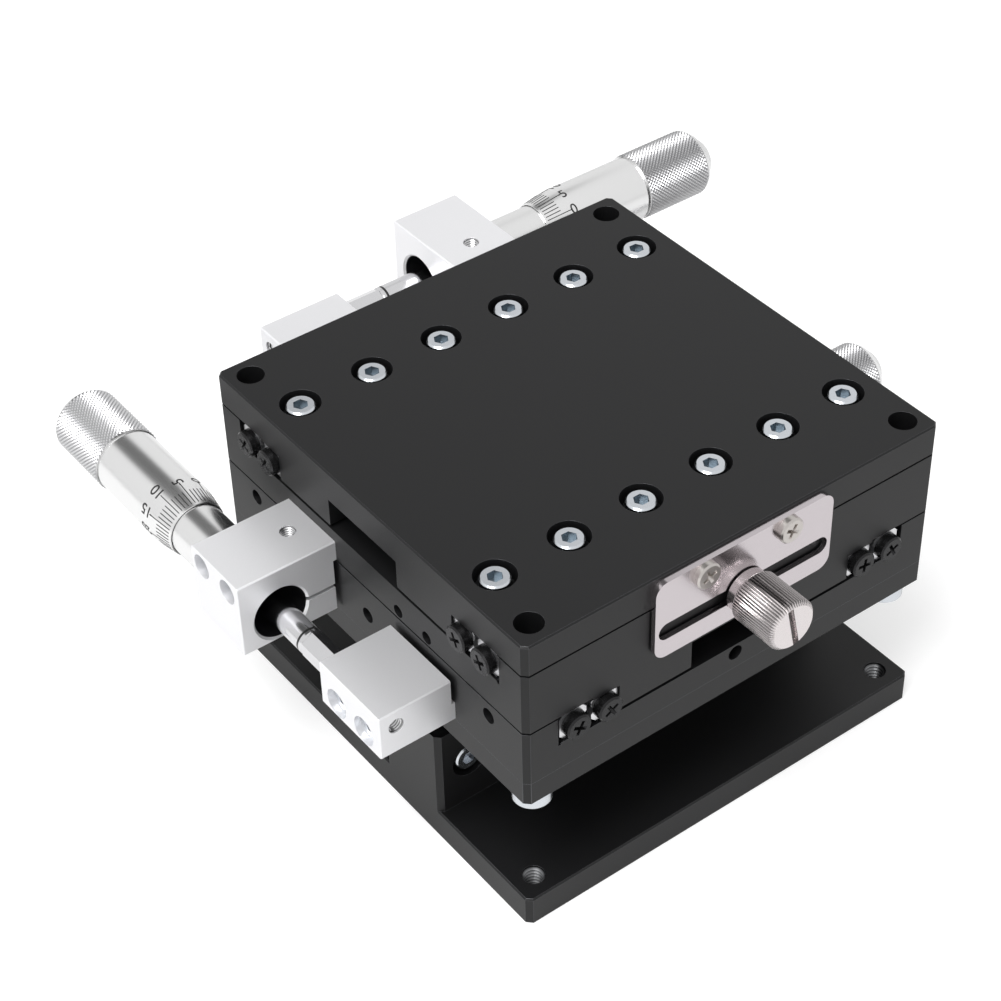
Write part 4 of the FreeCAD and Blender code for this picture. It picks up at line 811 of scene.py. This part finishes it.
@dataclass
class ThumbScrew:
    """A knurled thumb screw with a driver slot, along +X from its shoulder, in millimetres."""

    way: Way
    place: Matrix
    head_r: float = 4.9
    length: float = 10.2
    chamfer: float = 0.7
    teeth: int = 58
    tooth_depth: float = 0.3
    smooth_deg: float = 8.0
    slot_width: float = 1.2
    slot_depth: float = 1.2
    slot_tilt_deg: float = 12.0
    shank_r: float = 1.45
    shank: float = 10.5
    shank_chamfer: float = 0.3
    shank_steps: int = 24
    overlap: float = 0.2
    end_facing: float = 0.9
    end_margin: float = 0.01

    def build(self) -> None:
        """Build the screw in place of its CAD node."""
        node = f"{self.way.value}_lock_screw"
        profile = [
            (-self.shank, 0.0), (-self.shank, self.shank_r - self.shank_chamfer),
            (-self.shank + self.shank_chamfer, self.shank_r), (self.overlap, self.shank_r),
            (self.overlap, 0.0),
        ]
        parts = [self.head(), spun(profile, self.shank_steps)]
        mesh = moved(joined(parts), TO_METRES @ self.place)
        finished_object(node, mesh, NICKEL_KNURL, smooth_deg=self.smooth_deg)

    def head(self) -> BMesh:
        """Build the head: a toothed ring extruded along X, its end split by the driver slot.

        Returns:
            The head's bmesh.
        """
        mesh = bmesh.new()
        valley = mesh.verts.layers.float.new(VALLEY)
        rim = self.head_r - self.chamfer
        bmesh.ops.create_circle(mesh, segments=2 * self.teeth, radius=rim, cap_ends=True)
        bmesh.ops.rotate(mesh, matrix=Matrix.Rotation(QUARTER_TURN, 3, "Y"), verts=mesh.verts, cent=(0, 0, 0))
        stations = [(self.chamfer, True), (self.length - self.chamfer, True), (self.length, False)]
        front = mesh.faces[:]
        for along, toothed in stations:
            grown = bmesh.ops.extrude_face_region(mesh, geom=front)["geom"]
            front = [item for item in grown if isinstance(item, BMFace)]
            ring = [item for item in grown if isinstance(item, BMVert)]
            for vert in ring:
                angle = math.atan2(vert.co.y, vert.co.z)
                tooth = round(angle / FULL_TURN * 2 * self.teeth)
                tooth_r = self.head_r - (self.tooth_depth if tooth % 2 else 0.0)
                radius = tooth_r if toothed else rim
                vert.co = (along, radius * math.sin(angle), radius * math.cos(angle))
                # Painted shade in the valleys between the teeth
                vert[valley] = float(toothed and tooth % 2)
        self.cut_slot(mesh)
        bmesh.ops.recalc_face_normals(mesh, faces=mesh.faces)
        return mesh

    def cut_slot(self, mesh: BMesh) -> None:
        """Split the end face along the slot's edges and push the strip between them in."""
        tilt = math.radians(self.slot_tilt_deg)
        across = Vector((0.0, math.cos(tilt), math.sin(tilt)))
        for side in (-1, 1):
            cut(mesh, across * side * self.slot_width / 2, across)
        strip = [face for face in mesh.faces if self.in_slot(face, across)]
        grown = bmesh.ops.extrude_face_region(mesh, geom=strip)["geom"]
        bmesh.ops.delete(mesh, geom=strip, context="FACES_ONLY")
        verts = [item for item in grown if isinstance(item, BMVert)]
        bmesh.ops.translate(mesh, vec=(-self.slot_depth, 0.0, 0.0), verts=verts)

    def in_slot(self, face: BMFace, across: Vector) -> bool:
        """Return whether a face is a part of the flat end, between the slot's edges."""
        middle = face.calc_center_median()
        flat_end = abs(face.normal.x) > self.end_facing and middle.x > self.length - self.end_margin
        return flat_end and abs(middle.dot(across)) < self.slot_width / 2


@dataclass
class PanHead:
    """A pan head screw with a cross recess, along +X from its seat, in millimetres."""

    height: float
    head_r: float = 2.5
    chamfer: float = 0.3
    shank_r: float = 1.0
    cross_half: float = 1.45
    arm_half: float = 0.34
    recess_depth: float = 0.85
    recess_taper: float = 0.5
    segments: int = 40
    first_turn_deg: float = 25.0
    next_turn_deg: float = 37.0

    def build(self, shank: float) -> BMesh:
        """Build one screw.

        Args:
            shank: The shank's length below the seat.

        Returns:
            The screw's bmesh.
        """
        mesh = bmesh.new()
        outline = [(self.shank_r, -shank), (self.shank_r, 0.0), (self.head_r, 0.0),
                   (self.head_r, self.height - self.chamfer), (self.head_r - self.chamfer, self.height)]
        rings = []
        for radius, along in outline:
            ring = bmesh.ops.create_circle(mesh, segments=self.segments, radius=radius)["verts"]
            bmesh.ops.translate(mesh, vec=(0, 0, along), verts=ring)
            rings.append(ring)
        for first, second in zip(rings, rings[1:]):
            edges = self.edges_of(first) + self.edges_of(second)
            bmesh.ops.bridge_loops(mesh, edges=edges)
        near, far = self.arm_half, self.cross_half
        arm = [(far, -near), (far, near), (near, near)]
        turns = [Matrix.Rotation(quarter * QUARTER_TURN, 2) for quarter in range(4)]
        plus = [turn @ Vector(point) for turn in turns for point in arm]
        corners = [mesh.verts.new((x, y, self.height)) for x, y in plus]
        bottom = self.height - self.recess_depth
        floor = [mesh.verts.new((x * self.recess_taper, y * self.recess_taper, bottom)) for x, y in plus]
        top_edges = [mesh.edges.new(pair) for pair in zip(corners, corners[1:] + corners[:1])]
        floor_edges = [mesh.edges.new(pair) for pair in zip(floor, floor[1:] + floor[:1])]
        bmesh.ops.bridge_loops(mesh, edges=self.edges_of(rings[-1]) + top_edges)
        bmesh.ops.bridge_loops(mesh, edges=top_edges + floor_edges)
        mesh.faces.new(floor)
        mesh.faces.new(rings[0])
        bmesh.ops.recalc_face_normals(mesh, faces=mesh.faces)
        return moved(mesh, Matrix.Rotation(QUARTER_TURN, 4, "Y"))

    @staticmethod
    def edges_of(ring: list[BMVert]) -> list[BMEdge]:
        """Return the edges that join a ring's own vertices."""
        known = set(ring)
        edges = dict.fromkeys(edge for vert in ring for edge in vert.link_edges)
        return [edge for edge in edges if known.issuperset(edge.verts)]

    def group(self, node: str, finish: Finish, places: list[tuple[Vector, Vector]], shank: float) -> None:
        """Show several screws as one piece in place of a CAD node.

        Args:
            node: The CAD node that it replaces.
            finish: The finish.
            places: Seat and direction of each head, in millimetres.
            shank: The shanks' length.
        """
        screws = []
        for index, (seat, direction) in enumerate(places):
            turn = math.radians(self.first_turn_deg + self.next_turn_deg * index)
            place = aim(seat, direction) @ Matrix.Rotation(turn, 4, "X")
            screws.append(moved(self.build(shank), place))
        mesh = moved(joined(screws), TO_METRES)
        finished_object(node, mesh, finish)


@dataclass
class SmallScrews:
    """The cross recess screws of the rails' ends and of the lock plates, in millimetres."""

    rail_recess: float = 0.5
    rail_depth: float = 3.3
    moving_t: float = 28.3
    fixed_t: float = 34.9
    stop_head: float = 2.0
    stop_shank: float = 4.0
    plate_head: float = 1.3
    plate_shank: float = 5.3
    plate_half: float = 9.0
    plate_up: float = 3.0

    def rail_ends(self, way: Way, t: float) -> list[tuple[Vector, Vector]]:
        """Return the seats of the screws in the ends of a pair of rails.

        Args:
            way: The way that the rails belong to.
            t: How far the rails lie from the middle.

        Returns:
            Seats and directions.
        """
        stage = LAYOUT.stage(way)
        turn = stage.to_3x3()
        out = LAYOUT.half - self.rail_recess
        return [(stage @ Vector((end * out, side * t, -self.rail_depth)), turn @ Vector((end, 0.0, 0.0)))
                for end in (-1, 1) for side in (-1, 1)]

    def plate_seats(self, way: Way) -> list[tuple[Vector, Vector]]:
        """Return the seats and directions of a lock plate's two screws."""
        stage = LAYOUT.stage(way)
        out = -LAYOUT.half - LAYOUT.plate_thick
        direction = stage.to_3x3() @ Vector((0.0, -1.0, 0.0))
        return [(stage @ Vector((side * self.plate_half, out, self.plate_up)), direction) for side in (-1, 1)]

    def build(self) -> None:
        """Build the screws of each node."""
        stops = {
            "table_stop_screws": self.rail_ends(Way.X, self.moving_t),
            "middle_stop_screws": self.rail_ends(Way.X, self.fixed_t) + self.rail_ends(Way.Y, self.moving_t),
            "lift_stop_screws": self.rail_ends(Way.Y, self.fixed_t),
        }
        for node, seats in stops.items():
            PanHead(self.stop_head).group(node, BLACK_OXIDE, seats, self.stop_shank)
        for way in (Way.X, Way.Y):
            node = f"{way.value}_lock_plate_screws"
            PanHead(self.plate_head).group(node, WARM_NICKEL, self.plate_seats(way), self.plate_shank)


@dataclass
class ReturnSpring:
    """A tension spring between two posts, along +X from its fixed post, in millimetres."""

    node: str
    fixed_body: str
    moving_body: str
    place: Matrix
    length: float
    coil_r: float = 1.7
    wire_r: float = 0.3
    post_r: float = 1.3
    turns: int = 26
    grip: float = 2.0
    coil_start: float = 3.2
    lead: float = 2.2
    lead_out: float = 1.0
    wire_sides: int = 8
    steps_per_turn: int = 16
    eye_steps: int = 24

    def build(self) -> None:
        """Build the coil and the eyes."""
        steps = self.steps_per_turn * self.turns
        rise = (self.length - 2 * self.coil_start) / steps
        mesh = bmesh.new()
        circle = self.wire_circle(mesh, (self.coil_start, 0, self.coil_r))
        bmesh.ops.spin(mesh, geom=circle + mesh.edges[:], cent=(0, 0, 0), axis=(1, 0, 0),
                       angle=FULL_TURN * self.turns, steps=steps, dvec=(rise, 0, 0))
        bmesh.ops.recalc_face_normals(mesh, faces=mesh.faces)
        eyes = [self.eye(0.0, 1), self.eye(self.length, -1)]
        mesh = moved(joined([mesh, *eyes]), TO_METRES @ self.place)
        piece = finished_object(self.node, mesh, SPRING_WIRE, rides=False)
        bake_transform(piece)

    def wire_circle(self, mesh: BMesh,
                    at: Triple) -> list[BMVert]:
        """Add the wire's section at a point, facing along Y, and return its vertices."""
        circle = bmesh.ops.create_circle(mesh, segments=self.wire_sides, radius=self.wire_r)["verts"]
        bmesh.ops.rotate(mesh, matrix=Matrix.Rotation(QUARTER_TURN, 3, "X"), verts=circle, cent=(0, 0, 0))
        bmesh.ops.translate(mesh, vec=at, verts=circle)
        return circle

    def eye(self, along: float, inward: int) -> BMesh:
        """Build the ring round a post and the straight wire to the coil.

        Args:
            along: Where the post stands.
            inward: The direction of the coil from the post.

        Returns:
            The eye's bmesh.
        """
        ring_r = self.post_r + self.wire_r
        mesh = bmesh.new()
        circle = self.wire_circle(mesh, (ring_r, 0, 0))
        bmesh.ops.spin(mesh, geom=circle + mesh.edges[:], cent=(0, 0, 0), axis=(0, 0, 1), angle=FULL_TURN,
                       steps=self.eye_steps, use_merge=True)
        bmesh.ops.recalc_face_normals(mesh, faces=mesh.faces)
        wire = bmesh.new()
        bmesh.ops.create_cone(wire, segments=self.wire_sides, radius1=self.wire_r, radius2=self.wire_r,
                              depth=self.lead, cap_ends=True)
        bmesh.ops.rotate(wire, matrix=Matrix.Rotation(QUARTER_TURN, 3, "Y"), verts=wire.verts, cent=(0, 0, 0))
        bmesh.ops.translate(wire, vec=(inward * (ring_r + self.lead_out), 0, 0), verts=wire.verts)
        return moved(joined([mesh, wire]), Matrix.Translation((along, 0, 0)))


@dataclass
class Studio:
    """Floor, lights and camera."""

    focal_mm: float = 86.9
    sensor_mm: float = 36.0
    eye_mm: Triple = (-205.07, -260.25, 328.2)
    heading_deg: float = 53.99
    down_deg: float = 40.75
    roll_deg: float = 1.57
    paper: str = "#cfcfcf"
    paper_lift: float = 0.45
    paper_lift_mirrored: float = 0.15
    room_light: float = 0.88
    room_dark: float = 0.12
    dark_towards: Triple = (0.05, 0.61, 0.79)
    dark_edge: tuple[float, float] = (0.9, 0.97)
    floor_half_m: float = 4.0
    floor_drop_m: float = 0.0002

    def build(self) -> None:
        """Build the studio."""
        self.camera()
        self.floor()
        self.lights()

    def camera(self) -> None:
        """Place the camera at the photograph's viewing angle."""
        heading, down, roll = (math.radians(v) for v in (self.heading_deg, self.down_deg, self.roll_deg))
        ahead = math.cos(down)
        forward = Vector((ahead * math.cos(heading), ahead * math.sin(heading), -math.sin(down)))
        level = Vector((math.sin(heading), -math.cos(heading), 0.0))
        below = forward.cross(level)
        right = level * math.cos(roll) + below * math.sin(roll)
        up = level * math.sin(roll) - below * math.cos(roll)
        turn = Matrix((right, up, -forward)).transposed()
        data = bpy.data.cameras.new("photo_camera")
        data.lens = self.focal_mm
        data.sensor_width = self.sensor_mm
        camera = linked_object("photo_camera", data)
        camera.matrix_world = Matrix.Translation(Vector(self.eye_mm) * MM) @ turn.to_4x4()
        bpy.context.scene.camera = camera

    def floor(self) -> None:
        """Lay a pale floor under the base, which the camera and mirrors see brighter."""
        mesh = bmesh.new()
        bmesh.ops.create_grid(mesh, x_segments=1, y_segments=1, size=self.floor_half_m)
        bmesh.ops.translate(mesh, vec=(0, 0, -self.floor_drop_m), verts=mesh.verts)
        data = bpy.data.meshes.new("floor")
        mesh.to_mesh(data)
        mesh.free()
        material = bpy.data.materials.new("white_paper")
        tree = empty_tree(material)
        path = add_node(tree, "ShaderNodeLightPath")
        paper = add_node(tree, "ShaderNodeBsdfDiffuse", {"Color": linear(self.paper)})
        mirrored = add_node(tree, "ShaderNodeMath", {
            0: path.outputs["Is Glossy Ray"], 1: self.paper_lift_mirrored}, operation="MULTIPLY")
        lift = add_node(tree, "ShaderNodeMath", {
            0: path.outputs["Is Camera Ray"], 1: self.paper_lift, 2: mirrored.outputs[0]},
            operation="MULTIPLY_ADD")
        white = add_node(tree, "ShaderNodeEmission", {"Color": (1, 1, 1, 1), "Strength": lift.outputs[0]})
        shown = add_node(tree, "ShaderNodeAddShader", {0: paper.outputs[0], 1: white.outputs[0]})
        add_node(tree, "ShaderNodeOutputMaterial", {"Surface": shown.outputs[0]})
        data.materials.append(material)
        linked_object("floor", data)

    def lights(self) -> None:
        """Set the room's light, with one dark opening above and behind, and two soft lamps."""
        world = bpy.data.worlds.new("studio")
        tree = empty_tree(world)
        direction = add_node(tree, "ShaderNodeTexCoord")
        towards = add_node(tree, "ShaderNodeVectorMath", {
            0: direction.outputs["Generated"], 1: self.dark_towards}, operation="DOT_PRODUCT")
        outer, inner = self.dark_edge
        light = add_node(tree, "ShaderNodeMapRange", {
            "Value": towards.outputs["Value"], "From Min": outer, "From Max": inner,
            "To Min": self.room_light, "To Max": self.room_dark}, interpolation_type="SMOOTHSTEP")
        back = add_node(tree, "ShaderNodeBackground", {
            "Color": (1, 1, 1, 1), "Strength": light.outputs["Result"]})
        add_node(tree, "ShaderNodeOutputWorld", {"Surface": back.outputs[0]})
        bpy.context.scene.world = world
        self.lamp("key_lamp", at=(-0.35, -0.1, 0.75), size=0.45, power=6.0)
        self.lamp("side_lamp", at=(-0.7, -0.2, 0.35), size=0.4, power=0.6)

    def lamp(self, name: str, at: Triple, size: float, power: float) -> None:
        """Add a square area lamp that looks at the object.

        Args:
            name: The lamp's name.
            at: Its place in metres.
            size: Its side in metres.
            power: Its power in watts.
        """
        data = bpy.data.lights.new(name, "AREA")
        data.size = size
        data.energy = power
        lamp = linked_object(name, data)
        place = Vector(at)
        turn = (-place).to_track_quat("-Z", "Y")
        lamp.matrix_world = Matrix.Translation(place) @ turn.to_matrix().to_4x4()


def dress_nodes() -> None:
    """Give the CAD nodes that stay in view their finishes, and soften the plates and blocks."""
    for finish, nodes in CAD_FINISH.items():
        for node in nodes:
            data = frame["nodes"][node].data
            data.materials.clear()
            data.materials.append(finish.material())
            LOG.info("node %s: %s", node, finish.name)
    soften = SoftEdges()
    for node in BLACK_PLATES:
        soften.build(node, BLACK_ANODISED, EDGE_WEAR_AND_HIGHLIGHT)
    for finish, nodes in SOFTENED.items():
        for node in nodes:
            soften.build(node, finish)


@dataclass
class TableScrews:
    """The table's sunk cap screws, with painted shade inside their sockets, in millimetres."""

    node: str = "table_screws"
    row: float = 28.3
    pitch: float = 15.2
    per_row: int = 6
    socket_r: float = 2.05

    def in_socket(self, face: BMFace) -> bool:
        """Return whether a face lies wholly within a socket's radius of a screw's axis."""
        middle = face.calc_center_median() / MM
        first = -(self.per_row - 1) / 2 * self.pitch
        step = min(max(round((middle.x - first) / self.pitch), 0), self.per_row - 1)
        axis = Vector((first + step * self.pitch, math.copysign(self.row, middle.y)))
        return all((vert.co.xy / MM - axis).length < self.socket_r for vert in face.verts)

    def build(self) -> None:
        """Show a copy of the screws whose socket faces carry painted shade."""
        mesh = bmesh.new()
        mesh.from_mesh(frame["nodes"][self.node].data)
        bmesh.ops.remove_doubles(mesh, verts=mesh.verts, dist=WELD_M)
        for face in mesh.faces:
            face.material_index = int(self.in_socket(face))
        piece = finished_object(self.node, mesh, ZINC_PLATE)
        piece.data.materials.append(SOCKET_SHADE.material())


def build_threads() -> None:
    """Show the threads in the holes that the photograph looks into."""
    for way in (Way.X, Way.Y):
        name = way.value
        clamp = ThreadedHole(hole_r=1.5, pitch=0.5, depth=3.4)
        clamp.group(f"{name}_clamp_thread", f"{name}_mount_block", PALE_THREAD, [LAYOUT.clamp_hole(way)])
        anvil = ThreadedHole(hole_r=1.5, pitch=0.5, depth=6.0)
        anvil.group(f"{name}_anvil_thread", f"{name}_anvil_block", PALE_THREAD, [LAYOUT.anvil_hole(way)])
    corner = ThreadedHole(hole_r=2.1, pitch=0.8, depth=5.6)
    corner.group("base_corner_threads", "base_bracket", BLACK_THREAD, LAYOUT.base_holes())


def main() -> None:
    """Build every piece and the studio."""
    logging.basicConfig(level=logging.INFO, format="%(name)s: %(message)s")
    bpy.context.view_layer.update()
    dress_nodes()
    for way in Way:
        MicrometerHead(way, LAYOUT.head(way)).build()
    for way in (Way.X, Way.Y):
        ThumbScrew(way, LAYOUT.thumb(way)).build()
    SmallScrews().build()
    TableScrews().build()
    build_threads()
    ReturnSpring("x_spring", "middle", "table", LAYOUT.spring(Way.X), length=52.0).build()
    ReturnSpring("y_spring", "lift", "middle", LAYOUT.spring(Way.Y), length=52.0).build()
    ReturnSpring("lift_spring", "base", "lift", LAYOUT.spring(Way.LIFT), length=17.0, turns=9).build()
    Studio().build()
    bpy.context.scene.view_settings.view_transform = "Standard"
    bpy.context.view_layer.update()


if __name__ == "__main__":
    main()
